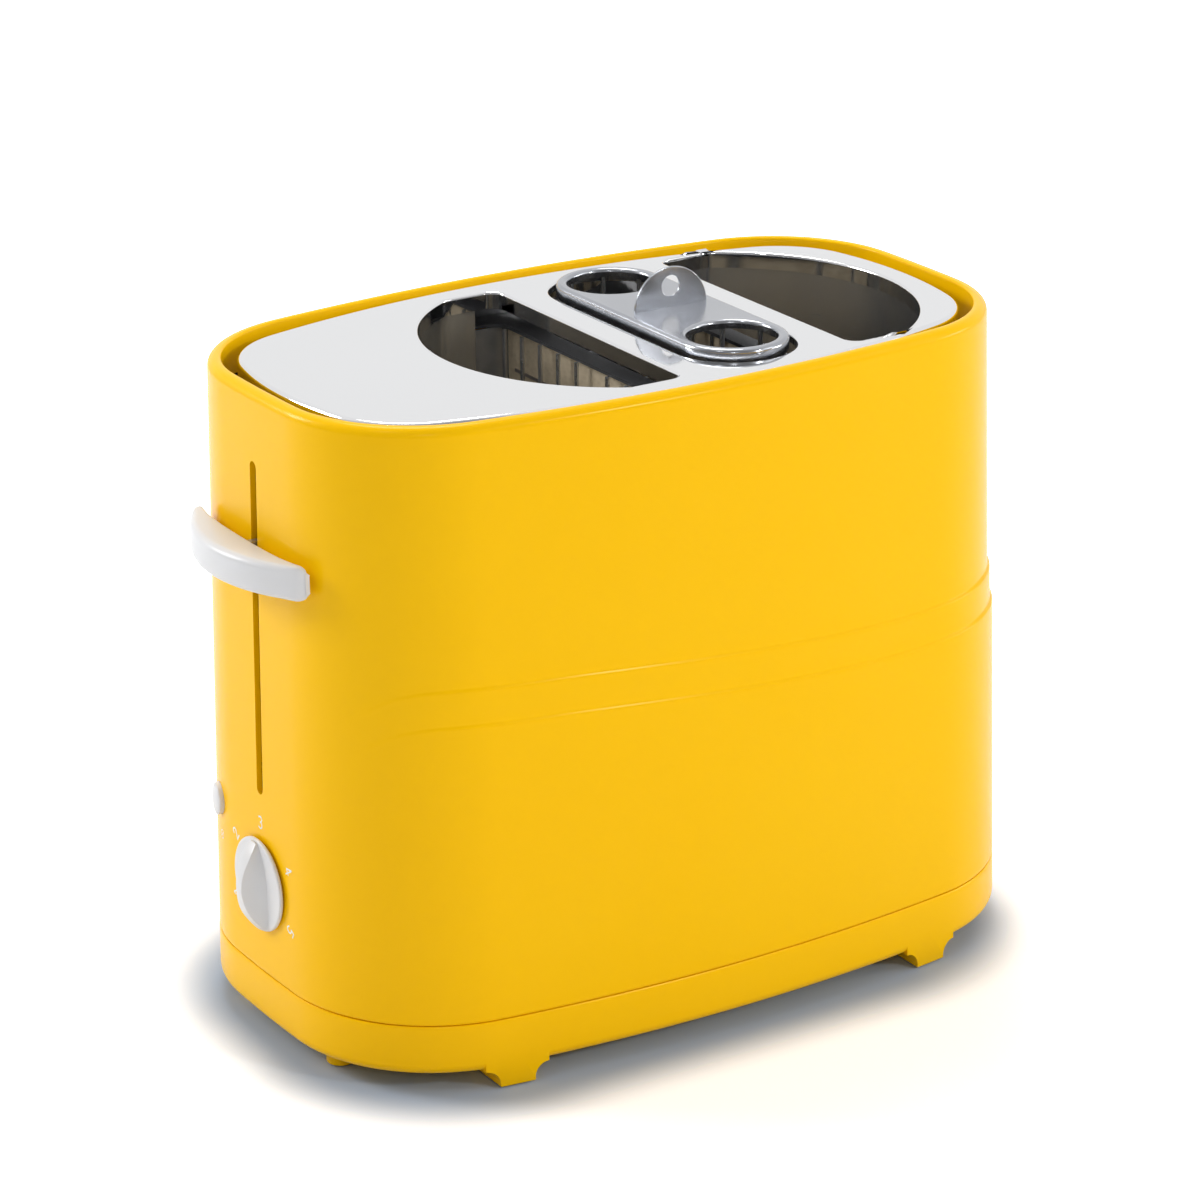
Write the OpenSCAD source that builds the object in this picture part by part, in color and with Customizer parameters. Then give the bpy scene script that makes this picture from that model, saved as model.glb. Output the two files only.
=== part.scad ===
// Pop-up toaster for two hot dogs and two buns.
// Millimetres. +X runs along the body away from the lever, +Z is up.
// The origin is on the table, at the middle of the toaster's outline with its lever.

/* [Body] */
// Length of the body over its top rim
body_l = 271; // [262:1:290]
// Width of the body over its top rim
body_w = 156; // [154:1:176]
// Height of the body, from the underside of the base to the rim
body_h = 225.5; // [215:0.5:245]
// Radius of the long sides in plan
side_r = 615; // [450:5:900]
// Radius of the two ends in plan
end_r = 670; // [450:5:900]
// Radius of the corners in plan
corner_r = 52; // [44:1:58]
// Outward lean of the walls for each millimetre down
draft = 0.021; // [0.01:0.001:0.025]
// Wall of the housing and the base
wall = 2.5; // [2:0.1:3.2]
// Height of the moulded base, up to the seam
base_h = 18.2; // [17:0.1:24]
// Rounding of the base's lower edge
base_edge_r = 4; // [2:0.5:5]
// Gap that shows as the seam between housing and base
seam_gap = 0.4; // [0.2:0.1:0.8]
// Thickness of the rolled rim at the top
rim_t = 4.8; // [4:0.1:6]
// Outer rounding of the rim
rim_r = 3.4; // [2:0.1:3.6]
// Depth of the thick rim
rim_depth = 13; // [11:0.5:15]

/* [Swept ledges] */
// How far each ledge stands proud of the wall above it
ledge_step = 0.5; // [0.3:0.05:0.8]
// Height of the upper ledge above the base at its crest
ledge_h = 137; // [120:1:150]
// Distance between the two ledges
ledge_pitch = 12.5; // [9:0.5:18]
// Drop of each ledge towards the far end
ledge_drop = 9.5; // [4:0.5:14]

/* [Feet] */
// Height of the moulded feet
foot_h = 7; // [5:0.5:10]
// Width of a foot at the table
foot_w = 12.5; // [9:0.5:18]
// Depth of a foot, inwards from the wall
foot_d = 24; // [16:1:30]
// Distance of the feet from the middle, along the body
foot_x = 85.3; // [70:0.5:92]
// Radius of the fillets beside a foot
foot_fillet = 5; // [3:0.5:5]
// Distance of the end stubs from the lever end
stub_inset = 13; // [11:0.5:18]
// Radius of a foot pad
pad_r = 4; // [3:0.25:5]

/* [Top plate and slots] */
// Length of the bright top plate
plate_l = 252; // [246:1:254]
// Width of the bright top plate
plate_w = 143; // [140:0.5:144]
// Radius of the plate's long sides
plate_side_r = 370; // [300:5:600]
// Radius of the plate's ends
plate_end_r = 150; // [130:5:400]
// Radius of the plate's corners
plate_corner_r = 34; // [26:1:40]
// Thickness of the bright sheet
sheet = 0.8; // [0.6:0.1:1]
// Depth of the plate below the rim
plate_down = 1.5; // [1:0.1:3]
// Rounding of the plate's bent edge
plate_bend = 1.6; // [1.2:0.1:2.4]
// Centre of the cooking bays, from the middle of the body
bay_x = 27; // [24:0.5:28]
// Inner, straight edge of a bun slot, from the bay centre
bun_in = 34; // [33:0.5:36]
// Outer end of a bun slot, from the bay centre
bun_out = 89.4; // [86:0.2:90]
// Radius of a bun slot's outer edge
bun_r = 70; // [66:0.5:74]
// Half the length of a bun slot
bun_half = 60.4; // [56:0.2:61]
// Corner radius of a bun slot
bun_corner_r = 5; // [3:0.5:8]
// Depth of the flange round a bun slot
bun_flange = 6; // [4:0.5:8]
// Radius of the ends of the middle opening
mid_r = 22; // [21.4:0.1:22.6]
// Distance of those ends from the middle
mid_half = 38.3; // [36:0.1:38.5]

/* [Hot dog cage] */
// Half the width of the cage
cage_r = 19.3; // [18.8:0.1:19.6]
// Radius of a hot dog hole
dog_r = 15.5; // [14:0.1:15.8]
// Height of the cage's top above the plate, popped up
cage_up = 3.3; // [2:0.1:6]
// Depth of the cage's turned-down edge
cage_lip = 5; // [4:0.5:7]
// Depth of the cage
cage_d = 97; // [90:1:100]
// Radius of the lifting tab
tab_r = 14.7; // [12:0.1:17]
// Radius of the hole in the tab
tab_hole_r = 3.7; // [2.5:0.1:4.5]
// Height of that hole's centre above the cage's top
tab_hole_up = 8; // [7:0.1:9]
// Radius of the cage's wires
wire_r = 0.9; // [0.7:0.05:1]
// Number of upright wires round each hot dog
wire_n = 8; // [6:1:10]

/* [Lever and carriage] */
// Height of the lever slot's lower end above the base
slot_low = 84; // [82:0.5:90]
// Length of the lever slot
slot_l = 117.7; // [114:0.1:124]
// Width of the lever slot
slot_w = 4.2; // [3.6:0.1:5]
// Thickness of the lever's arm
arm_t = 2.4; // [2:0.1:3]
// Height of the lever's arm
arm_h = 8; // [7:0.5:9]
// Travel of the lever downwards
press_down = 82; // [78:0.5:82]
// Travel of the lever upwards, to lift short pieces out
press_up = 25; // [18:0.5:25]
// Height of the lever knob
knob_h = 12; // [10:0.5:14]
// Width of the lever knob
knob_w = 76; // [66:1:80]
// Depth of the lever knob
knob_d = 14.3; // [12:0.1:18]
// Radius of the knob's front
knob_r = 63; // [56:1:76]
// Rounding of the knob's edges
knob_edge = 3; // [2:0.25:4]
// Room between the knob and the wall at the lowest point
knob_gap = 0.5; // [0.3:0.1:1.5]
// Distance of the guide rod from the lever end
rod_inset = 35.5; // [33:0.5:37]
// Radius of the guide rod
rod_r = 3; // [2.5:0.1:3.5]
// Height of the lift arm's sheet
lift_h = 9; // [8:0.5:10]

/* [Controls] */
// Height of the dial's centre above the base
dial_z = 51.5; // [49:0.5:54]
// Radius of the dial
dial_r = 16.6; // [14:0.1:18]
// Height of the dial's grip above the wall
dial_h = 8.5; // [7:0.1:11]
// Half the width of the grip's crest
grip_w = 3; // [2:0.1:4]
// Radius of the dial's shaft
shaft_r = 3; // [2.5:0.1:3.2]
// Height of the cancel button's centre above the base
button_z = 70; // [68:0.5:72]
// Sideways place of the cancel button
button_y = 34.5; // [33:0.5:36]
// Radius of the cancel button
button_r = 5.5; // [4.5:0.1:6]
// How far the button stands out of the wall
button_out = 3; // [2.5:0.1:4]
// Travel of the cancel button
button_travel = 2; // [1.5:0.1:2.2]

/* [Crumb tray] */
// Width of the crumb tray
tray_w = 90; // [80:1:90]
// Height of the crumb tray
tray_h = 11; // [8:0.5:11]
// Sheet of the crumb tray
tray_t = 0.8; // [0.6:0.1:1]
// Radius of the finger recess in the tray's front
grip_r = 9; // [7:0.5:10]

/* [Hidden] */
$fn = 96;
big_fn = 256;
edge_fn = 24;
run_fit = 0.05;
seat = 0.3;
yellow = [1, 0.78, 0.02];
white = [0.9, 0.9, 0.9];
steel = [0.78, 0.79, 0.8];
zinc = [0.62, 0.64, 0.66];
dark = [0.12, 0.12, 0.13];
mica = [0.8, 0.72, 0.56];
copper = [0.72, 0.45, 0.2];
green = [0.1, 0.36, 0.2];

body_o = [body_l, body_w, side_r, end_r, corner_r];
plate_o = [plate_l, plate_w, plate_side_r, plate_end_r, plate_corner_r];
rim_z = foot_h + body_h;
seam_z = foot_h + base_h;
floor_z = foot_h + wall;
plate_z = rim_z - plate_down;
frame_z = rim_z - rim_depth - 1;
frame_t = 1.2;
chassis_z = frame_z - frame_t - seat;
far = 400;

// Lean of the outer wall at height z.
function lean(z) = draft * (rim_z - rim_r - z);
// Distance of the lever end's outer wall from the middle, at height z and sideways place y.
function end_x(z, y = 0) = body_l / 2 + lean(z) - (end_r - sqrt(end_r * end_r - y * y));

slot_z0 = foot_h + slot_low;
slot_z1 = slot_z0 + slot_l;
arm_z = slot_z0 + 0.5 + press_down;
knob_z = arm_z + arm_h / 2;
knob_back = end_x(slot_z0) + knob_gap;
knob_front = knob_back + knob_d;
base_shift = 2 * ledge_step;
base_far = body_l / 2 + 2 * base_shift + lean(foot_h + base_edge_r);
body_x = (knob_front - base_far) / 2;

board_x = (bun_in + mid_r) / 2;
board_t = 0.8;
shield_y = bun_half + 2.8;
shield_t = 0.8;
left_x = bay_x - bun_out - 8.6;
right_x = bay_x + bun_out + 4.6;
right_half = shield_y - 20;
shield_end = bay_x + bun_out - 12.4;
rail_z = floor_z + tray_h + 15.5;
rail_h = 8;
board_z = rail_z + rail_h - 3;

cage_z = plate_z + cage_up;
cage_low = cage_z - cage_d;
lift_z = cage_low - seat - lift_h;
lift_slot_low = lift_z - press_down - 4;
lift_slot_high = lift_z + lift_h + press_up + 4;
rod_x = -(body_l / 2 - rod_inset);
hub = 14;
cord_x = rod_x + 14;
cord_y = body_w / 2 - 5.6;
cord_z = floor_z + 6.5;
bush_r = rod_r + 2;
armature_t = 1.6;
armature_z = lift_z - armature_t;
spring_low = floor_z + 10.8;
spring_high = armature_z - 0.2;
pole_z = armature_z - press_down - seat;
core_y = 12;
core_w = 5;
core_gap = 9;
core_d = 8;
core_foot = floor_z + 6.5;

dial_zc = foot_h + dial_z;
dial_x = end_x(dial_zc);
dial_back = dial_x + seat + 0.1;
dial_rim = 1.6;
button_zc = foot_h + button_z;
button_x = end_x(button_zc, button_y);
board_c = dial_x - 17;
board_c_t = 1.6;
board_c_low = floor_z + 14.5;
board_c_high = slot_z0 - 4;
board_c_half = 42;
pot_front = dial_x - wall - 3.6;
switch_face = board_c + 6;
stem_end = switch_face + button_travel + 0.1;
plunger_r = 1.7;

tray_low = floor_z + 0.5;
tray_back = left_x + 9;
slide_gap = 0.4;
// How far the pads stand out of the feet, and their thickness.
pad_out = 0.6;
pad_t = 2.1;

// ---- plan outlines made of eight tangent arcs: two sides, two ends, four corners ----

// Centre of the corner arc in the +X +Y quadrant of outline p = [l, w, side, end, corner].
function side_c(p) = p[2] - p[1] / 2;
function end_c(p) = p[3] - p[0] / 2;
function corner_c(p) =
    let (cs = side_c(p), ce = end_c(p), d = norm([cs, ce]))
    let (a = p[2] - p[4], b = p[3] - p[4], t = (a * a - b * b + d * d) / (2 * d))
    let (h = sqrt(a * a - t * t))
    [(h * cs - t * ce) / d, (t * cs + h * ce) / d - cs];
// Angles at which the corner meets the side and the end.
function side_a(p) = let (c = corner_c(p)) atan2(c[1] + side_c(p), c[0]);
function end_a(p) = let (c = corner_c(p)) atan2(c[1], c[0] + end_c(p));
// The eight arcs: [centre, radius, first angle, last angle].
function arcs(p) =
    let (c = corner_c(p), ts = side_a(p), te = end_a(p), cs = side_c(p), ce = end_c(p))
    [[[-ce, 0], p[3], -te, te],
     [c, p[4], te, ts],
     [[0, -cs], p[2], ts, 180 - ts],
     [[-c[0], c[1]], p[4], 180 - ts, 180 - te],
     [[ce, 0], p[3], 180 - te, 180 + te],
     [[-c[0], -c[1]], p[4], 180 + te, 180 + ts],
     [[0, cs], p[2], 180 + ts, 360 - ts],
     [[c[0], -c[1]], p[4], -ts, -te]];

// Stations round outline p: [centre, radius, angle]. Each arc takes its own number of steps.
function stations(p) =
    [for (a = arcs(p))
        let (n = a[1] == p[4] ? 10 : (a[1] == p[2] ? 8 : 6))
        for (i = [0 : n - 1])
            [a[0], a[1], a[2] + (a[3] - a[2]) * i / n]];

// Closed ring round outline p with a leaning section, given as points [outwards, height].
module ring(p, o, section) {
    st = stations(p);
    n = len(st);
    m = len(section);
    polyhedron(
        points = [for (t = st, q = section)
            [t[0][0] + (t[1] + o + q[0]) * cos(t[2]), t[0][1] + (t[1] + o + q[0]) * sin(t[2]), q[1]]],
        faces = [for (i = [0 : n - 1], j = [0 : m - 1])
            let (a = i * m, b = (i + 1) % n * m, k = (j + 1) % m)
            each [[a + j, a + k, b + j], [a + k, b + k, b + j]]]);
}

// Points of a rounded corner about x, z, from angle a to angle b.
function bend(x, z, r, a, b) = [for (i = [0 : 5]) [x + r * cos(a + (b - a) * i / 5), z + r * sin(a + (b - a) * i / 5)]];

// Filled outline p, grown by o.
module plan(p, o = 0) {
    polygon([for (t = stations(p))
        [t[0][0] + (t[1] + o) * cos(t[2]), t[0][1] + (t[1] + o) * sin(t[2])]]);
}

// ---- small shapes used by several pieces ----

// Everything is drawn from the middle of the body, and moved so that the lever is counted in.
module at_body() {
    translate([body_x, 0, 0])
        children();
}

// Square with round corners, from its lower left corner.
module round_rect(w, h, r) {
    translate([r, 0])
        square([w - 2 * r, h]);
    translate([0, r])
        square([w, h - 2 * r]);
    for (x = [r, w - r], y = [r, h - r])
        translate([x, y])
            circle(r = r);
}

// Stadium whose long axis is Y.
module stadium(half, r) {
    translate([-r, -half])
        square([2 * r, 2 * half]);
    for (s = [-1, 1])
        translate([0, s * half])
            circle(r = r);
}

// Sweeps a profile round a stadium. The profile's x is the distance outwards.
module stadium_sweep(half, r) {
    for (s = [0, 1])
        rotate(180 * s) {
            translate([0, half, 0])
                rotate_extrude(angle = 180)
                    translate([r, 0])
                        children();
            translate([r, half, 0])
                rotate([90, 0, 0])
                    linear_extrude(2 * half)
                        children();
        }
}

// Box between two corners.
module block(a, b) {
    translate(a)
        cube(b - a);
}

// Cylinder along X from x0 to x1 at y, z.
module x_rod(x0, x1, y, z, r) {
    translate([x0, y, z])
        rotate([0, 90, 0])
            cylinder(r = r, h = x1 - x0);
}

// Opening of the far bun slot, grown by o. The near one is its mirror image.
module bun_slot(o = 0) {
    intersection() {
        translate([bun_out - bun_r, 0])
            circle(r = bun_r + o, $fn = 192);
        translate([bun_in - o, -bun_half - o])
            round_rect(bun_r * 1.5, 2 * (bun_half + o), bun_corner_r + o);
    }
}

// Draws a shape of the far bun bay (side = 1), or its mirror image (side = -1).
module bay(side) {
    translate([bay_x, 0, 0])
        mirror([side < 0 ? 1 : 0, 0, 0])
            children();
}

// ---- housing and base ----

// Line of a ledge along the body, for a crest at height z. It starts d from the lever end's corner.
function ledge_curve(z, d) =
    let (e = corner_c(body_o)[0] + 40 - d)
    [[-e - 1, 0], [-e - 1, z - 8], [-e + 3, z - 3.8], [-e + 9, z - 1.4], [-e + 17, z - 0.1],
     [-e + 27, z], [-50, z - 2], [0, z - ledge_drop * 0.6], [45, z - ledge_drop * 0.9],
     [80, z - ledge_drop], [105, z - ledge_drop * 0.87], [far, z - ledge_drop * 0.87]];

// Region below a ledge line, seen along Y.
module below_ledge(z, d) {
    polygon(concat([[far, 0]], ledge_curve(z, d)));
}

// Section of the housing wall with its rolled rim.
function wall_section() =
    let (low = seam_z + seam_gap, foot = rim_z - rim_depth)
    concat([[lean(low), low]],
        bend(-rim_r, rim_z - rim_r, rim_r, 0, 90),
        bend(-rim_t + 1, rim_z - 1, 1, 90, 180),
        [[-rim_t, foot], [lean(foot) - wall, foot], [lean(low) - wall, low]]);

// Section of the skin that stands proud below a ledge line.
function skin_section() =
    let (low = seam_z + seam_gap, top = rim_z - 40)
    [[lean(low), low], [lean(top), top], [lean(top) - 1.2, top], [lean(low) - 1.2, low]];

// A plain wall, and two skins that each stand proud of what is above. They end at the lever end.
module housing_shell() {
    ring(body_o, 0, wall_section());
    for (k = [1, 2])
        intersection() {
            translate([k * ledge_step, 0, 0])
                ring(body_o, k * ledge_step, skin_section());
            rotate([90, 0, 0])
                linear_extrude(far, center = true)
                    below_ledge(foot_h + ledge_h - (k - 1) * ledge_pitch, 3 * k);
        }
}

// Places the four screw posts in the corners.
module posts() {
    post_a = 45;
    c = corner_c(body_o);
    r = corner_r + lean(seam_z) - wall - 3;
    for (sx = [-1, 1], sy = [-1, 1])
        translate([sx * (c[0] + r * cos(post_a)), sy * (c[1] + r * sin(post_a)), 0])
            children();
}

module housing() {
    post_top = foot_h + 62;
    post_low = seam_z + seam_gap;
    color(yellow)
        at_body()
            difference() {
                union() {
                    housing_shell();
                    posts()
                        translate([0, 0, post_low])
                            cylinder(r = 4.5, h = post_top - post_low);
                }
                posts()
                    translate([0, 0, post_low - 1])
                        cylinder(r = 1.5, h = 24);
                block([-body_l, -slot_w / 2, slot_z0 + slot_w / 2],
                    [-body_l / 2 + 20, slot_w / 2, slot_z1 - slot_w / 2]);
                for (z = [slot_z0 + slot_w / 2, slot_z1 - slot_w / 2])
                    x_rod(-body_l, -body_l / 2 + 20, 0, z, slot_w / 2);
                x_rod(-body_l, -body_l / 2 + 20, 0, dial_zc, shaft_r + 1.8);
                x_rod(-body_l, -body_l / 2 + 20, button_y, button_zc, button_r + 0.25);
            }
}

// Section of the base wall, with its flange below and the tongue that stands inside the housing.
function base_section() =
    let (out = lean(foot_h + base_edge_r), e = base_edge_r, in_r = base_edge_r / 2,
        in = lean(foot_h + base_edge_r) - wall, t = lean(seam_z) - wall - seat - 2 * base_shift, flange = -2 * wall - e)
    concat([[lean(seam_z), seam_z], [t, seam_z], [t, seam_z + 4], [t - 1.2, seam_z + 4],
        [t - 1.2, seam_z - 4], [in - 0.1, seam_z - 4]],
        bend(in - in_r, floor_z + in_r, in_r, 0, -90),
        [[flange, floor_z], [flange, foot_h]],
        bend(out - e, foot_h + e, e, -90, 0));

// Wall of the base.
module base_wall() {
    translate([base_shift, 0, 0])
        ring(body_o, base_shift, base_section());
}

// One foot seen along Y: straight sides with a fillet up to the base.
module foot_profile() {
    f = foot_fillet;
    translate([-foot_w / 2, 0])
        square([foot_w, foot_h + base_edge_r]);
    translate([-foot_w / 2 - f, foot_h])
        square([foot_w + 2 * f, base_edge_r]);
    for (s = [-1, 1])
        translate([s * (foot_w / 2 + f / 2), foot_h - f / 2 + 0.01])
            difference() {
                square([f + 0.02, f], center = true);
                translate([s * f / 2, -f / 2])
                    circle(r = f - 0.01, $fn = 40);
            }
}

module feet() {
    difference() {
        intersection() {
            for (sx = [-1, 1], sy = [-1, 1])
                translate([sx * foot_x, sy * (body_w / 2 + 20), 0])
                    rotate([90, 0, sy > 0 ? 0 : 180])
                        linear_extrude(foot_d + 24)
                            foot_profile();
            translate([base_shift, 0, pad_out])
                linear_extrude(foot_h + base_edge_r - pad_out)
                    plan(body_o, base_shift + lean(foot_h + base_edge_r));
        }
        translate([base_shift, 0, floor_z - 0.05])
            linear_extrude(10)
                plan(body_o, base_shift + lean(foot_h + base_edge_r) - wall + 0.1);
    }
    for (s = [-1, 1])
        translate([-body_l / 2 + stub_inset - 4, s * 29, pad_out])
            cylinder(r = 5, h = floor_z - pad_out);
}

// Middle of a foot's underside, where its pad sits.
module at_pads() {
    for (sx = [-1, 1], sy = [-1, 1])
        translate([sx * foot_x, sy * (body_w / 2 - 12), 0])
            children();
}

module tray_space(o) {
    block([tray_back - 3 * o, -tray_w / 2 - o, tray_low - 0.5 * o],
        [far, tray_w / 2 + o, tray_low + tray_h + o]);
}

module base() {
    vent_n = 6;
    color(yellow)
        at_body()
            difference() {
                union() {
                    base_wall();
                    translate([base_shift, 0, foot_h])
                        linear_extrude(wall)
                            plan(body_o, base_shift + lean(foot_h) - base_edge_r - 1);
                    feet();
                    posts()
                        translate([0, 0, foot_h + 1])
                            cylinder(r = 4.5, h = base_h - 1);
                    translate([rod_x, 0, foot_h + 1])
                        cylinder(r = rod_r + 3.5, h = spring_low - seat - foot_h - 1);
                    block([rod_x - core_d / 2 - 2, -core_y - 2 * core_w - core_gap - 2, foot_h + 1],
                        [rod_x + core_d / 2 + 2, -core_y + 2, core_foot]);
                    for (s = [-1, 1])
                        block([-board_c - 2.5, s > 0 ? board_c_half - 6 : -board_c_half - 3, foot_h + 1],
                            [-board_c + board_c_t + 2.5, s > 0 ? board_c_half + 3 : 6 - board_c_half,
                            board_c_low + 8]);
                }
                tray_space(slide_gap);
                translate([rod_x, 0, floor_z + 2])
                    cylinder(r = rod_r + run_fit, h = 40);
                for (s = [-1, 1])
                    block([-board_c - 0.1, s > 0 ? board_c_half - 7 : -board_c_half - 0.2, board_c_low - 0.2],
                        [-board_c + board_c_t + 0.1, s > 0 ? board_c_half + 0.2 : 7 - board_c_half,
                        board_c_low + 9]);
                posts() {
                    translate([0, 0, seam_z])
                        cylinder(r = 5, h = 10);
                    translate([0, 0, -1])
                        cylinder(r = 1.7, h = seam_z + 2);
                    translate([0, 0, -1])
                        cylinder(r = 3.6, h = foot_h + 4.2);
                }
                for (i = [0 : vent_n - 1])
                    translate([-body_l / 2 + 24 + 6.5 * i, 44, foot_h - 1])
                        linear_extrude(wall + 2)
                            translate([-1.25, -12])
                                round_rect(2.5, 24, 1.2);
                translate([cord_x, cord_y - 10, cord_z])
                    rotate([-90, 0, 0])
                        cylinder(r = 4.7, h = 40);
                at_pads()
                    translate([0, 0, -1])
                        cylinder(r = pad_r + 0.1, h = pad_t + 1);
            }
}

module foot_pads() {
    color(dark)
        at_body()
            at_pads()
                cylinder(r = pad_r, h = pad_t);
}

// ---- bright top, its frame and the bun bays ----

// Section of the plate's bent edge and its skirt.
function plate_section() =
    let (b = plate_bend, low = frame_z + seat, in = -b - 2)
    concat([[-sheet, low], [0, low]],
        bend(-b, plate_z - b, b, 0, 90),
        [[in, plate_z], [in, plate_z - sheet]],
        bend(-b, plate_z - b, b - sheet, 90, 0));

module top_plate() {
    color(steel)
        at_body() {
            ring(plate_o, 0, plate_section());
            difference() {
                translate([0, 0, plate_z - sheet + 0.1])
                    linear_extrude(sheet - 0.2)
                        plan(plate_o, -plate_bend - 1);
                translate([0, 0, plate_z - 2])
                    linear_extrude(4) {
                        bay(1)
                            bun_slot();
                        bay(-1)
                            bun_slot();
                        translate([bay_x, 0])
                            stadium(mid_half, mid_r);
                    }
            }
            for (s = [-1, 1])
                bay(s)
                    translate([0, 0, plate_z - bun_flange])
                        linear_extrude(bun_flange)
                            difference() {
                                bun_slot(sheet);
                                bun_slot();
                            }
            translate([bay_x, 0, plate_z - bun_flange / 2])
                linear_extrude(bun_flange / 2)
                    difference() {
                        stadium(mid_half, mid_r + sheet);
                        stadium(mid_half, mid_r);
                    }
        }
}

// Flat frame under the plate. It ties the chassis to the housing and closes the gap round the plate.
module top_frame() {
    color(dark)
        at_body()
            translate([0, 0, frame_z - frame_t])
                linear_extrude(frame_t)
                    difference() {
                        plan(body_o, -wall - seat);
                        for (s = [-1, 1])
                            bay(s)
                                bun_slot(2.4);
                        translate([bay_x, 0])
                            stadium(mid_half, mid_r + 1.8);
                        translate([rod_x, 0])
                            circle(r = rod_r + run_fit);
                    }
}

// Curved reflector of one bun bay, open towards the heater.
module bun_liner(side) {
    low = board_z + 4;
    color(steel)
        at_body()
            difference() {
                bay(side)
                    difference() {
                        translate([0, 0, low])
                            linear_extrude(plate_z - 1.6 - low)
                                difference() {
                                    bun_slot(sheet + seat + sheet);
                                    bun_slot(sheet + seat);
                                    translate([0, -far / 2])
                                        square([bun_in + bun_corner_r + 2, far]);
                                }
                        if (side < 0)
                            block([bun_out - 10, -4, 0], [bun_out + 10, 4, lift_slot_high]);
                    }
                if (side > 0)
                    translate([0, 0, frame_z + 0.1])
                        linear_extrude(40)
                            difference() {
                                translate([0, -far / 2])
                                    square(far);
                                plan(plate_o, -sheet - 0.2);
                            }
            }
}

module bun_liner_left() { bun_liner(-1); }
module bun_liner_right() { bun_liner(1); }

// ---- chassis ----

module end_frame_left() {
    foot = 9;
    color(zinc)
        at_body()
            difference() {
                union() {
                    block([left_x - 1, -shield_y, floor_z + seat], [left_x, shield_y, chassis_z]);
                    for (s = [-1, 1])
                        block([left_x - foot, s > 0 ? 46 : -60, floor_z + seat],
                            [left_x, s > 0 ? 60 : -46, floor_z + seat + 1]);
                }
                block([left_x - 2, -4, lift_slot_low], [left_x + 1, 4, lift_slot_high]);
                for (s = [-1, 1])
                    translate([left_x - 2, s * (shield_y / 2), rail_z + 90])
                        rotate([90, 0, 90])
                            linear_extrude(4)
                                stadium(35, 12);
                for (s = [-1, 1])
                    translate([left_x - foot / 2, s * 53, 0])
                        cylinder(r = 1.7, h = 40);
            }
}

// Far end of the chassis: a flat sheet with two wings bent back to the side shields.
module end_frame_right() {
    h = right_half;
    color(zinc)
        at_body()
            difference() {
                translate([0, 0, floor_z + seat])
                    linear_extrude(chassis_z - floor_z - seat)
                        polygon([[right_x, -h], [right_x, h], [shield_end, shield_y],
                            [shield_end + 1, shield_y + 0.8], [right_x + 1, h + 0.4], [right_x + 1, -h - 0.4],
                            [shield_end + 1, -shield_y - 0.8], [shield_end, -shield_y]]);
                block([shield_end - 20, -tray_w / 2 - 3, 0],
                    [right_x + 10, tray_w / 2 + 3, tray_low + tray_h + 4]);
                for (s = [-1, 1])
                    translate([right_x - 2, s * h / 2, rail_z + 90])
                        rotate([90, 0, 90])
                            linear_extrude(4)
                                stadium(35, 8);
            }
}

module side_shield(side) {
    color(zinc)
        at_body()
            difference() {
                block([left_x + seat, side > 0 ? shield_y - shield_t : -shield_y, rail_z - 2],
                    [shield_end - seat, side > 0 ? shield_y : shield_t - shield_y, chassis_z]);
                for (i = [0 : 7])
                    translate([left_x + 22 + i * (shield_end - left_x - 44) / 7, 0, rail_z + 40])
                        rotate([90, 0, 0])
                            linear_extrude(far, center = true)
                                translate([-3, -20])
                                    round_rect(6, 40, 2.9);
            }
}

module side_shield_front() { side_shield(-1); }
module side_shield_back() { side_shield(1); }

// ---- heaters ----

// Places a heater board's own x at the board of one side.
module at_board(side) {
    translate([bay_x + side * board_x, 0, 0])
        children();
}

module heater_board(side) {
    half = shield_y - shield_t - seat;
    color(mica)
        at_body()
            at_board(side)
                difference() {
                    block([-board_t / 2, -half, board_z], [board_t / 2, half, chassis_z]);
                    block([-1, -4, board_z - 1], [1, 4, lift_slot_high]);
                }
}

module heater_board_left() { heater_board(-1); }
module heater_board_right() { heater_board(1); }

// Flat ribbon that runs to and fro over one half of a board, drawn in y and z.
module ribbon(y0, y1, z0, rows, pitch, w) {
    for (i = [0 : rows - 1])
        translate([y0, z0 + i * pitch])
            square([y1 - y0, w]);
    for (i = [0 : rows - 2])
        translate([i % 2 == 0 ? y1 - w : y0, z0 + i * pitch])
            square([w, pitch + w]);
}

module heater_wire(side) {
    rows = 15;
    pitch = (chassis_z - board_z - 36) / (rows - 1);
    thick = 0.3;
    color(copper)
        at_body()
            at_board(side)
                for (f = [-1, 1], m = [0, 1])
                    translate([f > 0 ? board_t / 2 : -board_t / 2 - thick, 0, 0])
                        mirror([0, m, 0])
                            rotate([90, 0, 90])
                                linear_extrude(thick)
                                    ribbon(7, bun_half - 3, board_z + 20, rows, pitch, 1.2);
}

module heater_wire_left() { heater_wire(-1); }
module heater_wire_right() { heater_wire(1); }

// Channels across the chassis that hold the boards' lower edges.
module board_rails() {
    half = shield_y - shield_t - seat;
    color(zinc)
        at_body()
            for (s = [-1, 1])
                at_board(s)
                    difference() {
                        block([-5.6, -half, rail_z], [5.6, half, rail_z + rail_h]);
                        block([-board_t / 2 - 0.1, -far, board_z - 0.1], [board_t / 2 + 0.1, far, far]);
                    }
}

// Upright wires that keep the food off the boards.
module guard_wires() {
    n = 5;
    r = 0.8;
    low = rail_z + rail_h;
    color(steel)
        at_body()
            for (s = [-1, 1], f = [-1, 1], m = [-1, 1], i = [0 : n - 1])
                at_board(s)
                    translate([f * 4.1, m * (10 + i * (bun_half - 12) / (n - 1)), low])
                        cylinder(r = r, h = frame_z - frame_t - low, $fn = 24);
}

// ---- lift, spring and magnet ----

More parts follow.
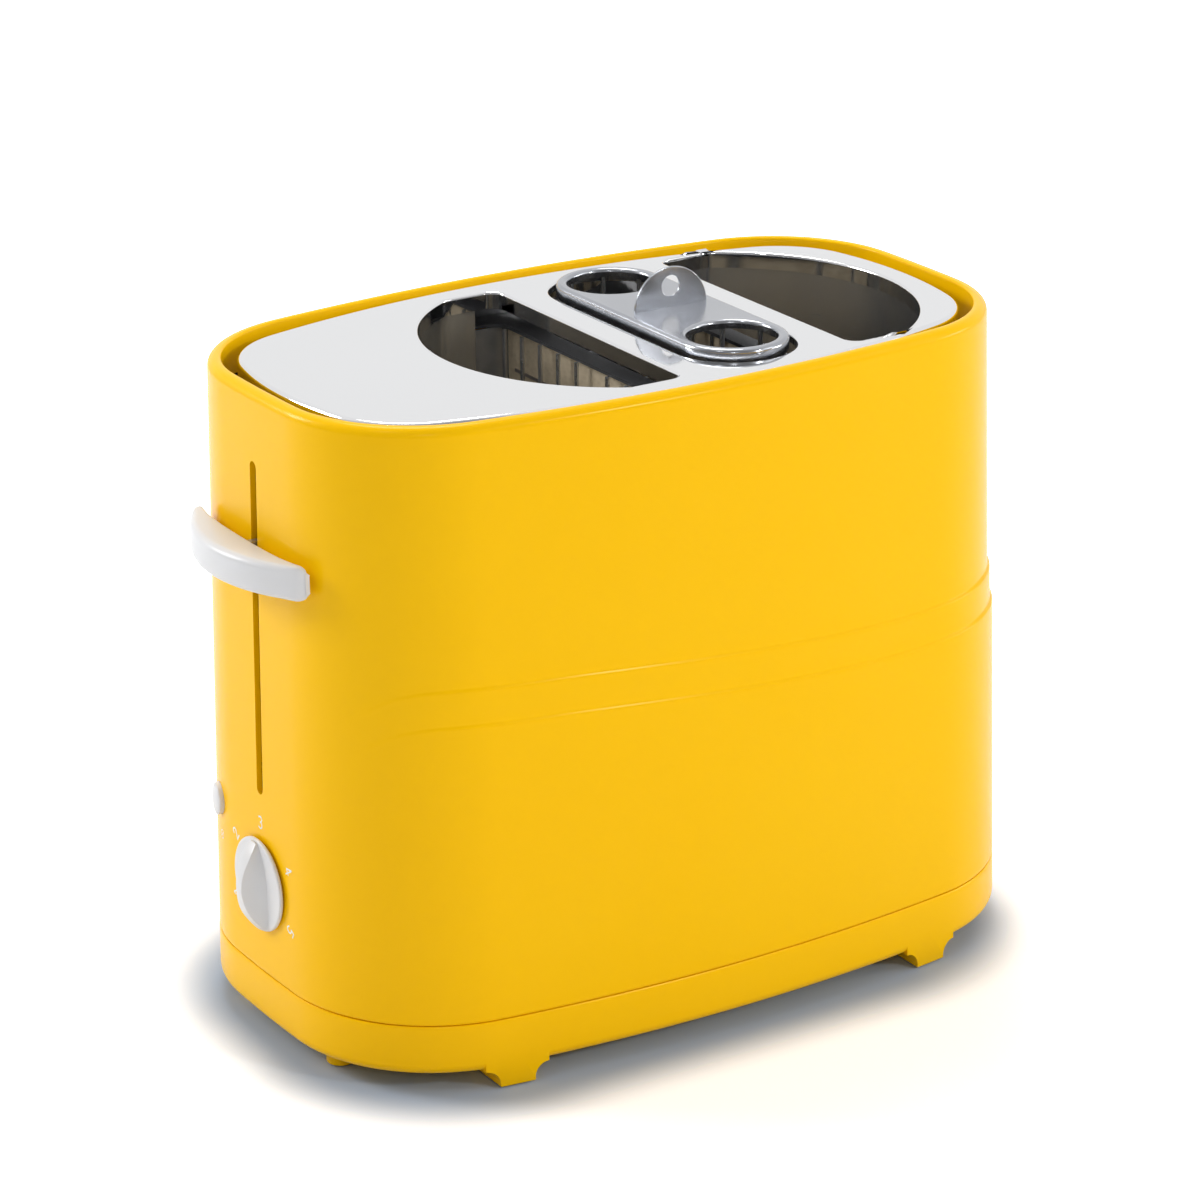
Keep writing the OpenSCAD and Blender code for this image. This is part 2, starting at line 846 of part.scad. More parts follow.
module guide_rod() {
    color(steel)
        at_body()
            translate([rod_x, 0, floor_z + 2])
                cylinder(r = rod_r, h = frame_z + 1 - floor_z - 2);
}

// Points of the spring's centre line, and their least distance less the wire.
spring_wire = 1.2;
spring_turns = 14;
spring_mid_r = rod_r + 3.2;
spring_steps = 8;
spring_run = spring_high - spring_low - spring_wire;
function spring_point(i) =
    let (t = i / spring_steps)
    [spring_mid_r * cos(360 * t), spring_mid_r * sin(360 * t),
     spring_low + spring_wire / 2 + spring_run * t / spring_turns];
function spring_gap() =
    min([for (j = [spring_steps - 2 : spring_steps + 2])
        norm(spring_point(j) - spring_point(0))]) - spring_wire;
echo(least_gap_between_spring_turns = spring_gap());

// Tube of six sides along a list of points on an upright helix.
module helix_tube(points, r) {
    n = len(points);
    sides = 6;
    ring = [for (i = [0 : n - 1])
        let (p = points[i], a = atan2(p[1], p[0]))
        for (k = [0 : sides - 1])
            let (b = 360 * k / sides)
            [p[0] + r * cos(b) * cos(a), p[1] + r * cos(b) * sin(a), p[2] + r * sin(b)]];
    polyhedron(points = ring, faces = concat(
        [[for (k = [0 : sides - 1]) k]],
        [[for (k = [sides - 1 : -1 : 0]) (n - 1) * sides + k]],
        [for (i = [0 : n - 2], k = [0 : sides - 1])
            [i * sides + k, (i + 1) * sides + k, i * sides + (k + 1) % sides]],
        [for (i = [0 : n - 2], k = [0 : sides - 1])
            [(i + 1) * sides + k, (i + 1) * sides + (k + 1) % sides, i * sides + (k + 1) % sides]]));
}

module lift_spring() {
    color(steel)
        at_body()
            translate([rod_x, 0, 0])
                helix_tube([for (i = [0 : spring_steps * spring_turns]) spring_point(i)],
                    spring_wire / 2);
}

module magnet_core() {
    y1 = -core_y;
    y0 = y1 - 2 * core_w - core_gap;
    color(zinc)
        at_body()
            difference() {
                block([rod_x - core_d / 2, y0, core_foot], [rod_x + core_d / 2, y1, pole_z]);
                block([rod_x - core_d, y0 + core_w, core_foot + core_w],
                    [rod_x + core_d, y1 - core_w, pole_z + 1]);
            }
}

module magnet_coil() {
    y0 = -core_y - 2 * core_w - core_gap;
    color(copper)
        at_body()
            difference() {
                block([rod_x - core_d / 2 - 3, y0 - 3, core_foot + core_w + 1],
                    [rod_x + core_d / 2 + 3, y0 + core_w + 3, pole_z - 3]);
                block([rod_x - core_d / 2 - 0.15, y0 - 0.15, 0],
                    [rod_x + core_d / 2 + 0.15, y0 + core_w + 0.15, far]);
            }
}

module armature() {
    y0 = -core_y - 2 * core_w - core_gap - 1;
    color(zinc)
        at_body()
            difference() {
                block([rod_x - hub / 2, y0, armature_z], [rod_x + hub / 2, hub / 2, lift_z]);
                translate([rod_x, 0, 0])
                    cylinder(r = rod_r + 1, h = far);
            }
}

module carriage() {
    top = arm_z + arm_h + 2;
    color(zinc)
        at_body()
            difference() {
                block([rod_x - hub / 2, -hub / 2, lift_z], [rod_x + hub / 2, hub / 2, top]);
                translate([rod_x, 0, 0])
                    cylinder(r = bush_r + run_fit, h = far);
            }
}

module carriage_bush() {
    top = arm_z + arm_h + 2;
    color(white)
        at_body()
            translate([rod_x, 0, lift_z])
                difference() {
                    cylinder(r = bush_r, h = top - lift_z);
                    translate([0, 0, -1])
                        cylinder(r = rod_r + run_fit, h = far);
                }
}

// Sheet arm on edge that reaches from the carriage under all three bays.
module lift_arm() {
    t = 1.6;
    reach = bay_x + bun_out - 14;
    color(zinc)
        at_body()
            difference() {
                block([rod_x + hub / 2, -t / 2, lift_z], [reach, t / 2, lift_z + lift_h]);
                for (i = [0 : 4])
                    translate([bay_x + (i - 2) * 26 - 8, 0, lift_z + lift_h / 2])
                        rotate([90, 0, 0])
                            linear_extrude(4, center = true)
                                rotate(90)
                                    stadium(5, 2);
            }
}

module lever_arm() {
    tip = knob_front - 6;
    color(zinc)
        at_body()
            block([-tip, -arm_t / 2, arm_z], [rod_x - hub / 2, arm_t / 2, arm_z + arm_h]);
}

// Section of the knob: a bar with rounded front edges, x is the distance from its arc's centre.
module knob_profile() {
    e = knob_edge;
    depth = knob_r - 18;
    translate([knob_r - depth, -knob_h / 2])
        square([depth - e, knob_h]);
    translate([knob_r - depth, e - knob_h / 2])
        square([depth, knob_h - 2 * e]);
    for (s = [-1, 1])
        translate([knob_r - e, s * (knob_h / 2 - e)])
            circle(r = e, $fn = edge_fn);
}

module lever_knob() {
    e = knob_edge;
    tip = knob_front - 6;
    color(white)
        at_body()
            difference() {
                intersection() {
                    translate([knob_r - knob_front, 0, knob_z])
                        rotate(90)
                            rotate_extrude(angle = 180, $fn = 192)
                                knob_profile();
                    translate([-far, 0, knob_z])
                        rotate([90, 0, 90])
                            linear_extrude(far)
                                translate([-knob_w / 2, -knob_h / 2])
                                    round_rect(knob_w, knob_h, e);
                }
                translate([end_r - knob_back, 0, 0])
                    cylinder(r = end_r, h = far, $fn = big_fn);
                block([-tip - 0.15, -arm_t / 2 - 0.15, arm_z - 0.15],
                    [0, arm_t / 2 + 0.15, arm_z + arm_h + 0.15]);
            }
}

// Perforated shelf that carries one bun.
module bun_lifter(side) {
    color(steel)
        at_body()
            bay(side)
                translate([0, 0, lift_z + lift_h])
                    linear_extrude(1.2)
                        difference() {
                            intersection() {
                                bun_slot(-4);
                                translate([0, -48])
                                    square([bun_out - 10, 96]);
                            }
                            for (i = [0 : 3], s = [-1, 1])
                                translate([bun_in + 12 + i * 9, s * (i == 3 ? 14 : 22)])
                                    translate([-2, i == 3 ? -8 : -14])
                                        round_rect(4, i == 3 ? 16 : 28, 1.9);
                        }
}

module bun_lifter_left() { bun_lifter(-1); }
module bun_lifter_right() { bun_lifter(1); }

// ---- hot dog cage ----

module cage_edge_profile() {
    b = 1.5;
    difference() {
        union() {
            translate([-b - 1.5, cage_z - cage_lip])
                square([b + 1.5, cage_lip - b]);
            translate([-b - 1.5, cage_z - cage_lip])
                square([1.5, cage_lip]);
            translate([-b, cage_z - b])
                circle(r = b, $fn = edge_fn);
        }
        translate([-b - 2, cage_z - cage_lip - 1])
            square([b + 2 - sheet, cage_lip + 1 - b]);
        translate([-b - 2, cage_z - cage_lip - 1])
            square([2, cage_lip + 1 - sheet]);
        translate([-b, cage_z - b])
            circle(r = b - sheet, $fn = edge_fn);
    }
}

module cage_top() {
    inner = cage_r - 2.2;
    tab_t = 1;
    color(steel)
        at_body()
            translate([bay_x, 0, 0]) {
                stadium_sweep(mid_half, cage_r)
                    cage_edge_profile();
                translate([0, 0, cage_z - sheet])
                    linear_extrude(sheet)
                        difference() {
                            stadium(mid_half, inner);
                            for (s = [-1, 1])
                                translate([0, s * mid_half])
                                    circle(r = dog_r + 0.4);
                        }
                for (s = [-1, 1])
                    translate([0, s * mid_half, cage_z - 3])
                        rotate_extrude()
                            translate([dog_r, 0])
                                square([sheet, 3 - 0.01]);
                difference() {
                    translate([0, 0, cage_z - 0.4])
                        rotate([90, 0, 0])
                            linear_extrude(tab_t, center = true)
                                intersection() {
                                    circle(r = tab_r);
                                    translate([-tab_r, 0])
                                        square([2 * tab_r, tab_r]);
                                }
                    translate([0, 0, cage_z - 0.4 + tab_hole_up])
                        rotate([90, 0, 0])
                            cylinder(r = tab_hole_r, h = 8, center = true);
                }
            }
}

module cage_wires() {
    mid = dog_r + sheet + wire_r + 0.1;
    low = cage_low + 1;
    color(steel)
        at_body()
            for (s = [-1, 1])
                translate([bay_x, s * mid_half, 0]) {
                    for (i = [0 : wire_n - 1])
                        rotate(360 * (i + 0.5) / wire_n)
                            translate([mid, 0, low])
                                cylinder(r = wire_r, h = cage_z - sheet - low, $fn = 24);
                }
}

// Two flat hoops round each ring of wires.
module cage_hoops() {
    mid = dog_r + sheet + wire_r + 0.1;
    low = cage_low + 1;
    color(steel)
        at_body()
            for (s = [-1, 1], k = [1, 2])
                translate([bay_x, s * mid_half, low + k * (cage_z - low) / 3])
                    rotate_extrude()
                        translate([mid + wire_r + 0.02, -1])
                            square([wire_r, 2]);
}

module cage_bottom() {
    color(steel)
        at_body()
            translate([bay_x, 0, cage_low])
                linear_extrude(1)
                    difference() {
                        stadium(mid_half, cage_r - 0.6);
                        for (s = [-1, 1], i = [0 : 5])
                            translate([0, s * mid_half])
                                rotate(60 * i)
                                    translate([8, 0])
                                        circle(r = 2.4);
                    }
}

// ---- controls ----

// A dome on a thin flange, cut on both sides so that a grip is left standing.
module dial() {
    rise = dial_h - dial_rim;
    ball_r = (dial_r * dial_r + rise * rise) / (2 * rise);
    sunk = 0.4;
    color(white)
        at_body()
            translate([-dial_back, 0, dial_zc])
                rotate([0, -90, 0])
                    difference() {
                        union() {
                            rotate_extrude()
                                dial_flange();
                            intersection() {
                                rotate_extrude()
                                    intersection() {
                                        translate([0, dial_h - ball_r])
                                            circle(r = ball_r, $fn = 160);
                                        translate([0, dial_rim - sunk])
                                            square([dial_r - 0.6, rise + sunk + 1]);
                                    }
                                translate([-dial_r - 1, 0, dial_rim])
                                    rotate([90, 0, 90])
                                        linear_extrude(2 * dial_r + 2)
                                            polygon([[-grip_w - rise * 0.7, -1], [grip_w + rise * 0.7, -1],
                                                [grip_w + rise * 0.7, 0], [grip_w, rise + 1],
                                                [-grip_w, rise + 1], [-grip_w - rise * 0.7, 0]]);
                            }
                        }
                        translate([0, 0, -1])
                            cylinder(r = shaft_r + run_fit, h = 1 + dial_h - 3);
                    }
}

module dial_flange() {
    e = dial_rim / 2;
    square([dial_r - e, dial_rim]);
    translate([dial_r - e, e])
        circle(r = e, $fn = edge_fn);
}

module dial_shaft() {
    color(steel)
        at_body()
            x_rod(-dial_back - dial_h + 3.2, -board_c - 5, 0, dial_zc, shaft_r);
}

module potentiometer() {
    color(dark)
        at_body()
            difference() {
                union() {
                    x_rod(-pot_front, -board_c, 0, dial_zc, 8.5);
                    x_rod(-dial_x + 0.5, -pot_front, 0, dial_zc, shaft_r + 1.5);
                }
                x_rod(-far, -board_c - 4, 0, dial_zc, shaft_r + run_fit);
            }
}

module circuit_board() {
    color(green)
        at_body()
            block([-board_c, -board_c_half, board_c_low],
                [-board_c + board_c_t, board_c_half, board_c_high]);
}

module cancel_switch() {
    s = 3.5;
    color(dark)
        at_body()
            difference() {
                block([-switch_face, button_y - s, button_zc - s], [-board_c, button_y + s, button_zc + s]);
                x_rod(-far, -board_c - 1, button_y, button_zc, plunger_r + 0.1);
            }
}

module switch_plunger() {
    color(dark)
        at_body()
            x_rod(-stem_end, -switch_face + 1.4, button_y, button_zc, plunger_r);
}

module cancel_button() {
    crown = 1;
    front = button_x + button_out;
    inside = button_x - wall - 4;
    color(white)
        at_body()
            translate([0, button_y, button_zc])
                rotate([0, -90, 0]) {
                    translate([0, 0, inside])
                        cylinder(r = button_r, h = front - crown - inside);
                    translate([0, 0, front - crown])
                        rotate_extrude() {
                            square([button_r - crown, crown]);
                            intersection() {
                                translate([button_r - crown, 0])
                                    circle(r = crown, $fn = edge_fn);
                                square([button_r, crown]);
                            }
                        }
                    translate([0, 0, inside - 0.8])
                        cylinder(r = button_r + 0.6, h = 0.9);
                    translate([0, 0, stem_end])
                        cylinder(r = 2, h = inside - stem_end);
                }
}

// Switch block with two spring blades that the lift closes.
module power_contacts() {
    y = 16;
    z = foot_h + 60;
    color(dark)
        at_body() {
            block([left_x - 9, y, z], [left_x - 1, y + 12, z + 16]);
            for (x = [-7.5, -4])
                block([left_x + x, y + 3, z + 16], [left_x + x + 0.5, y + 9, z + 30]);
        }
}

// Bush in the back wall that the mains lead would pass through.
module cord_bush() {
    color(dark)
        at_body()
            translate([cord_x, cord_y, cord_z])
                rotate([-90, 0, 0])
                    difference() {
                        union() {
                            cylinder(r = 4.6, h = 7.3);
                            cylinder(r = 5.1, h = 1.2);
                            translate([0, 0, 6.1])
                                cylinder(r = 5.1, h = 1.2);
                        }
                        translate([0, 0, -1])
                            cylinder(r = 3.4, h = 20);
                    }
}

module base_screws() {
    color(zinc)
        at_body()
            posts() {
                translate([0, 0, foot_h + 1])
                    cylinder(r = 3.2, h = 2.2);
                translate([0, 0, foot_h + 3.2])
                    cylinder(r = 1.45, h = seam_z + 18 - foot_h - 3.2);
            }
}

module chassis_screws() {
    foot = 9;
    color(zinc)
        at_body()
            for (s = [-1, 1])
                translate([left_x - foot / 2, s * 53, floor_z + seat + 1])
                    cylinder(r = 3, h = 2);
}

// ---- crumb tray ----

module crumb_tray() {
    front = body_l / 2 - 8;
    color(zinc)
        at_body()
            difference() {
                block([tray_back, -tray_w / 2, tray_low], [front, tray_w / 2, tray_low + tray_h]);
                block([tray_back + tray_t, tray_t - tray_w / 2, tray_low + tray_t],
                    [front - tray_t, tray_w / 2 - tray_t, far]);
            }
}

// Section of the tray's front, with the outer face of the base wall.
function front_section() =
    let (e = base_edge_r, out = lean(foot_h + base_edge_r), top = seam_z)
    concat([[lean(top), top], [-20, top], [-20, foot_h]], bend(out - e, foot_h + e, e, -90, 0));

// Front of the tray, flush with the base, with a finger recess under it.
module tray_front() {
    front = body_l / 2 - 8;
    color(yellow)
        at_body()
            difference() {
                union() {
                    intersection() {
                        translate([base_shift, 0, 0])
                            ring(body_o, base_shift, front_section());
                        block([front, -tray_w / 2, tray_low], [far, tray_w / 2, tray_low + tray_h]);
                    }
                }
                translate([base_far + 3, 0, 0])
                    cylinder(r = grip_r, h = tray_low + tray_h - 3);
            }
}

housing();
base();
foot_pads();
top_plate();
top_frame();
bun_liner_left();
bun_liner_right();
end_frame_left();
end_frame_right();
side_shield_front();
side_shield_back();
heater_board_left();
heater_board_right();
heater_wire_left();
heater_wire_right();
board_rails();
guard_wires();
guide_rod();
lift_spring();
magnet_core();
magnet_coil();
circuit_board();
potentiometer();
cancel_switch();
power_contacts();
cord_bush();
base_screws();
chassis_screws();
carriage();
carriage_bush();
lift_arm();
lever_arm();
lever_knob();
bun_lifter_left();
bun_lifter_right();
armature();
cage_top();
cage_wires();
cage_hoops();
cage_bottom();
dial();
dial_shaft();
cancel_button();
switch_plunger();
crumb_tray();
tray_front();
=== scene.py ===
import math

import bmesh
import bpy
from mathutils import Matrix, Vector


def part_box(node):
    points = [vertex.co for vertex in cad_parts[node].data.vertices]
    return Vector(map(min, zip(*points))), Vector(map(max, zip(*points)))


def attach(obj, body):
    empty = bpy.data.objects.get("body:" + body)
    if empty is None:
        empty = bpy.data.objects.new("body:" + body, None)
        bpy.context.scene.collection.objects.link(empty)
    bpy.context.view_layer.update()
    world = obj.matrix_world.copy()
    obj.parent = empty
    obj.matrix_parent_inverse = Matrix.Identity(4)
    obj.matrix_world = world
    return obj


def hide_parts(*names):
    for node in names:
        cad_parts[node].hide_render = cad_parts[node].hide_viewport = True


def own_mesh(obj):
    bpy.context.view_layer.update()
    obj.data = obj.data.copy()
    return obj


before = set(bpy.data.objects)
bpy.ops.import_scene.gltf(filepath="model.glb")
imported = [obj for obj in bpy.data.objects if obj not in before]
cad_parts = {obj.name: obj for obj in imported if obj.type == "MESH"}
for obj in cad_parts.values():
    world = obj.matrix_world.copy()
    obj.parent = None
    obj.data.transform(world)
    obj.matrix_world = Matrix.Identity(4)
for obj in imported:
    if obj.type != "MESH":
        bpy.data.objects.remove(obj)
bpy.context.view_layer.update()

# Sizes are millimetres, as in the part's source, where no line says metres. Meshes are made in metres.
MM = 0.001


# ---------------- sizes

# Outlines of the body and the plate: length, width, and the radii of their side, end and corner arcs.
BODY = dict(length=271.0, width=156.0, side=615.0, end=670.0, corner=52.0)
PLATE = dict(length=252.0, width=143.0, side=370.0, end=150.0, corner=34.0)
FOOT_H = 7.0
RIM_Z = 232.5
RIM_T, RIM_R, RIM_DEPTH = 4.8, 3.4, 13.0
SEAM_Z = 25.2
SEAM_GAP = 0.4
WALL = 2.5
THIN_WALL = 2.0
DRAFT = 0.021
LEDGE_STEP = 0.5
LEDGE_Z = 144.0
LEDGE_PITCH = 12.5
EDGE_R = 4.0
# Below both ledges the wall stands out and away from the lever end.
SHIFT = 2 * LEDGE_STEP
PAD_OUT = 0.6
PLATE_Z = 231.0
PLATE_BEND = 1.6
SHEET = 0.8
FRAME_Z = 218.5
# Middle of the toasting bay along X, in the frame and from the body's middle.
BAY = sum(corner[0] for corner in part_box("cage_bottom")) / 2 / MM
BAY_OFF = 27.0
BODY_X = BAY - BAY_OFF
# Lever end: slot, dial and button. Bay: bun slots, liners, guard wires and the hot dog cage.
SLOT_LOW, SLOT_HIGH, SLOT_W = 91.0, 208.7, 4.2
DIAL_Z, DIAL_R, DIAL_BORE = 58.5, 16.6, 3.05
BUTTON_Y, BUTTON_Z, BUTTON_R = 34.5, 77.0, 5.6
BUN_IN, BUN_OUT, BUN_R, BUN_HALF, BUN_CORNER = 34.0, 89.4, 70.0, 60.4, 5.0
LINER_LOW = 45.0
GUARD_X, GUARD_OFF, GUARD_LOW, GUARD_HIGH = 28.0, 4.1, 44.6, 217.1
MID_R, MID_HALF = 22.0, 38.3
CAGE_R, DOG_R, CAGE_Z, CAGE_LOW, CAGE_LIP = 19.3, 15.5, 234.3, 138.4, 5.0
TAB_R, TAB_T, TAB_SINK, TAB_HOLE_R, TAB_HOLE_UP = 14.7, 1.0, 0.4, 3.7, 8.0
ROD_X = -100.0 + BODY_X


def lean(z):
    """Outward lean of the wall at height z."""
    return DRAFT * (RIM_Z - RIM_R - z)


def clamp01(t):
    return max(0.0, min(1.0, t))


def smooth(t):
    t = clamp01(t)
    return t * t * (3 - 2 * t)


def along(table, x):
    """Value of a smooth line through (place, value) pairs."""
    if x <= table[0][0]:
        return table[0][1]
    for i in range(len(table) - 1):
        (a, va), (b, vb) = table[i], table[i + 1]
        if x <= b:
            before = table[max(i - 1, 0)]
            after = table[min(i + 2, len(table) - 1)]
            ma = (vb - before[1]) / (b - before[0])
            mb = (after[1] - va) / (after[0] - a)
            h = b - a
            t = (x - a) / h
            return ((2 * t ** 3 - 3 * t ** 2 + 1) * va + (t ** 3 - 2 * t ** 2 + t) * h * ma
                    + (3 * t ** 2 - 2 * t ** 3) * vb + (t ** 3 - t ** 2) * h * mb)
    return table[-1][1]


# ---------------- outlines

def bend(x, z, r, a0, a1, n=8):
    """Points of an arc, from one angle to another in degrees."""
    turn = [math.radians(a0 + (a1 - a0) * i / n) for i in range(n + 1)]
    return [(x + r * math.cos(a), z + r * math.sin(a)) for a in turn]


def circle(x, z, r, n):
    return bend(x, z, r, 0, 360, n)[:-1]


def normals(a0, a1, n):
    """Unit normals from one angle to another in degrees."""
    return bend(0, 0, 1, a0, a1, n)


def arcs(p):
    """The eight arcs of an outline: centre, radius, first and last angle in degrees."""
    cs, ce = p["side"] - p["width"] / 2, p["end"] - p["length"] / 2
    a, b, d = p["side"] - p["corner"], p["end"] - p["corner"], math.hypot(cs, ce)
    t = (a * a - b * b + d * d) / (2 * d)
    h = math.sqrt(a * a - t * t)
    cx, cy = (h * cs - t * ce) / d, (t * cs + h * ce) / d - cs
    ts = math.degrees(math.atan2(cy + cs, cx))
    te = math.degrees(math.atan2(cy, cx + ce))
    s, e, c = p["side"], p["end"], p["corner"]
    return [((-ce, 0), e, -te, te), ((cx, cy), c, te, ts), ((0, -cs), s, ts, 180 - ts),
            ((-cx, cy), c, 180 - ts, 180 - te), ((ce, 0), e, 180 - te, 180 + te),
            ((-cx, -cy), c, 180 + te, 180 + ts), ((0, cs), s, 180 + ts, 360 - ts),
            ((cx, -cy), c, -ts, -te)]


def stations(p, fine=1.0):
    """Points round an outline, each as centre, radius and unit normal."""
    out = []
    for (cx, cy), r, a0, a1 in arcs(p):
        n = int({p["side"]: 48, p["end"]: 26}.get(r, 30) * fine)
        out += [(cx, cy, r, ca, sa) for ca, sa in normals(a0, a1, n)[:-1]]
    return out


def at(st, off, shift=0.0):
    """Point of a station at a distance outwards."""
    cx, cy, r, ca, sa = st
    return (cx + (r + off) * ca + BODY_X + shift, cy + (r + off) * sa)


def stadium_stations(half, r, n=40):
    """Stations round a long opening with round ends, in the middle of the bay."""
    ends = ((half, 0), (-half, 180))
    return [(BAY_OFF, y, r, ca, sa) for y, a0 in ends for ca, sa in normals(a0, a0 + 180, n)]


def bun_stations(side):
    """Stations round a bun slot. Corners are true arcs, straight runs have a few points."""
    r, c, n = BUN_R, BUN_CORNER, 72
    mid = BUN_OUT - r
    reach = math.asin(BUN_HALF / r)
    x_end = mid + r * math.cos(reach)

    def corner(s, a0):
        return [(BUN_IN + c, s * (BUN_HALF - c), c, ca, sa) for ca, sa in normals(a0, a0 + 90, 12)]

    def end_run(s, x0, x1):
        return [(x0 + (x1 - x0) * i / 5, s * BUN_HALF, 0.0, 0.0, float(s)) for i in range(1, 5)]

    pts = [(mid, 0.0, r, ca, sa) for ca, sa in normals(-math.degrees(reach), math.degrees(reach), n)]
    # the two outer corners take a normal between the arc's and the flat end's
    for k, s in ((0, -1), (n, 1)):
        ca, sa = pts[k][3], pts[k][4] + s
        m = math.hypot(ca, sa)
        pts[k] = (x_end, s * BUN_HALF, 0.0, ca / m, sa / m)
    pts += end_run(1, x_end, BUN_IN + c) + corner(1, 90)
    pts += [(BUN_IN, (BUN_HALF - c) * (1 - 2 * i / 10), 0.0, -1.0, 0.0) for i in range(1, 10)]
    pts += corner(-1, 180) + end_run(-1, BUN_IN + c, x_end)
    out = [(BAY_OFF + side * cx, cy, rr, side * ca, sa) for cx, cy, rr, ca, sa in pts]
    return out if side > 0 else out[::-1]


# ---------------- mesh helpers

def placed(name, data):
    """New object of a mesh, a lamp or a camera, linked to the scene."""
    ob = bpy.data.objects.new(name, data)
    bpy.context.scene.collection.objects.link(ob)
    return ob


def raw_mesh(name, verts, edges=(), faces=()):
    """Mesh of points in millimetres."""
    me = bpy.data.meshes.new(name)
    me.from_pydata([tuple(c * MM for c in v) for v in verts], edges, faces)
    me.update()
    return me


def new_mesh(name, verts, faces, sharp=35.0):
    """Object with its place in its mesh, faces turned outwards, smooth up to an angle."""
    return tidy(placed(name, raw_mesh(name, verts, faces=faces)), sharp)


def from_bmesh(name, bm):
    me = bpy.data.meshes.new(name)
    bm.to_mesh(me)
    bm.free()
    return placed(name, me)


def tidy(ob, sharp=35.0, normals=True, merge=0.0):
    """Merges points that meet, turns faces outwards, and shades smooth up to an angle."""
    me = ob.data
    bm = bmesh.new()
    bm.from_mesh(me)
    if merge:
        bmesh.ops.remove_doubles(bm, verts=bm.verts, dist=merge * MM)
    if normals:
        bmesh.ops.recalc_face_normals(bm, faces=bm.faces)
    bm.to_mesh(me)
    bm.free()
    me.shade_smooth()
    me.set_sharp_from_angle(angle=math.radians(sharp))
    return ob


def grid_faces(rows, cols, around=True, closed=False):
    """Quads of a grid whose rows each run round a loop of cols points."""
    out = []
    for j in range(rows if closed else rows - 1):
        a, b = j * cols, (j + 1) % rows * cols
        for i in range(cols if around else cols - 1):
            n = (i + 1) % cols
            out.append((a + i, a + n, b + n, b + i))
    return out


def ring(name, sts, section, closed=True, shift=0.0, sharp=35.0):
    """Sweeps a section of (outwards, height) points round stations."""
    verts = [(*at(s, o, shift), z) for o, z in section for s in sts]
    return new_mesh(name, verts, grid_faces(len(section), len(sts), closed=closed), sharp)


def stack(name, rows, sharp=35.0):
    """Solid through equal loops of points, closed by a face at each end."""
    n, m = len(rows[0]), len(rows)
    faces = grid_faces(m, n) + [tuple(range(n)), tuple(range((m - 1) * n, m * n))]
    return new_mesh(name, [p for row in rows for p in row], faces, sharp)


def prism(name, points, z0, z1):
    """Upright prism of an outline."""
    return stack(name, [[(x, y, z) for x, y in points] for z in (z0, z1)])


def box_mesh(name, lo, hi):
    (x0, y0, z0), (x1, y1, z1) = lo, hi
    return prism(name, [(x0, y0), (x1, y0), (x1, y1), (x0, y1)], z0, z1)


def lathe(name, profile, axis, origin, n=64):
    """Turns a profile of (radius, along) about an axis through origin. Zero radii close it."""
    axis = Vector(axis).normalized()
    side = axis.orthogonal().normalized()
    other = axis.cross(side)
    verts, faces, loops = [], [], []
    for r, t in profile:
        c = Vector(origin) + axis * t
        count = n if r > 1e-6 else 1
        loops.append(list(range(len(verts), len(verts) + count)))
        for i in range(count):
            a = 2 * math.pi * i / n
            verts.append(tuple(c + (side * math.cos(a) + other * math.sin(a)) * r))
    for a, b in zip(loops, loops[1:]):
        for i in range(n):
            k = (i + 1) % n
            if len(a) == 1 and len(b) > 1:
                faces.append((a[0], b[i], b[k]))
            elif len(b) == 1 and len(a) > 1:
                faces.append((a[i], a[k], b[0]))
            elif len(a) > 1:
                faces.append((a[i], a[k], b[k], b[i]))
    return new_mesh(name, verts, faces)


def rod(name, r, low, high, axis, origin, n=40):
    """Round bar from one place to another along an axis."""
    return lathe(name, [(0, low), (r, low), (r, high), (0, high)], axis, origin, n)


def apply_modifiers(ob):
    """Replaces an object's mesh by what its modifiers make of it."""
    dg = bpy.context.evaluated_depsgraph_get()
    me = bpy.data.meshes.new_from_object(ob.evaluated_get(dg))
    ob.modifiers.clear()
    old = ob.data
    ob.data = me
    bpy.data.meshes.remove(old)
    return ob


def modified(ob, kind, **settings):
    """Gives an object one modifier and keeps the result as its mesh."""
    m = ob.modifiers.new(kind.lower(), kind)
    for k, v in settings.items():
        setattr(m, k, v)
    return apply_modifiers(ob)


def boolean(ob, cutter, how="DIFFERENCE"):
    """Cuts, joins or intersects with another solid, which is used up."""
    modified(ob, "BOOLEAN", operation=how, object=cutter, solver="EXACT")
    bpy.data.objects.remove(cutter)
    return ob


def bevel(ob, width, segments=3, angle=35.0, sharp=35.0):
    """Rounds the edges that turn by more than an angle."""
    modified(ob, "BEVEL", width=width * MM, segments=segments, limit_method="ANGLE",
             angle_limit=math.radians(angle))
    return tidy(ob, sharp, normals=False)


def sheeted(ob, thick, sharp=35.0):
    """Gives a single skin its sheet thickness, on the side away from its normals."""
    modified(ob, "SOLIDIFY", thickness=thick * MM, offset=-1.0, use_even_offset=True)
    return tidy(ob, sharp, normals=False)


def even_normals(ob):
    """Lets the large faces set the normals, so that flats stay flat beside their rounded edges."""
    return modified(ob, "WEIGHTED_NORMAL", keep_sharp=True, weight=100)


def joined(name, obs, merge=0.0, sharp=35.0, normals=False):
    """One object out of several."""
    bm = bmesh.new()
    for o in obs:
        bm.from_mesh(o.data)
        bpy.data.objects.remove(o)
    return tidy(from_bmesh(name, bm), sharp, normals, merge)


# ---------------- shader maths

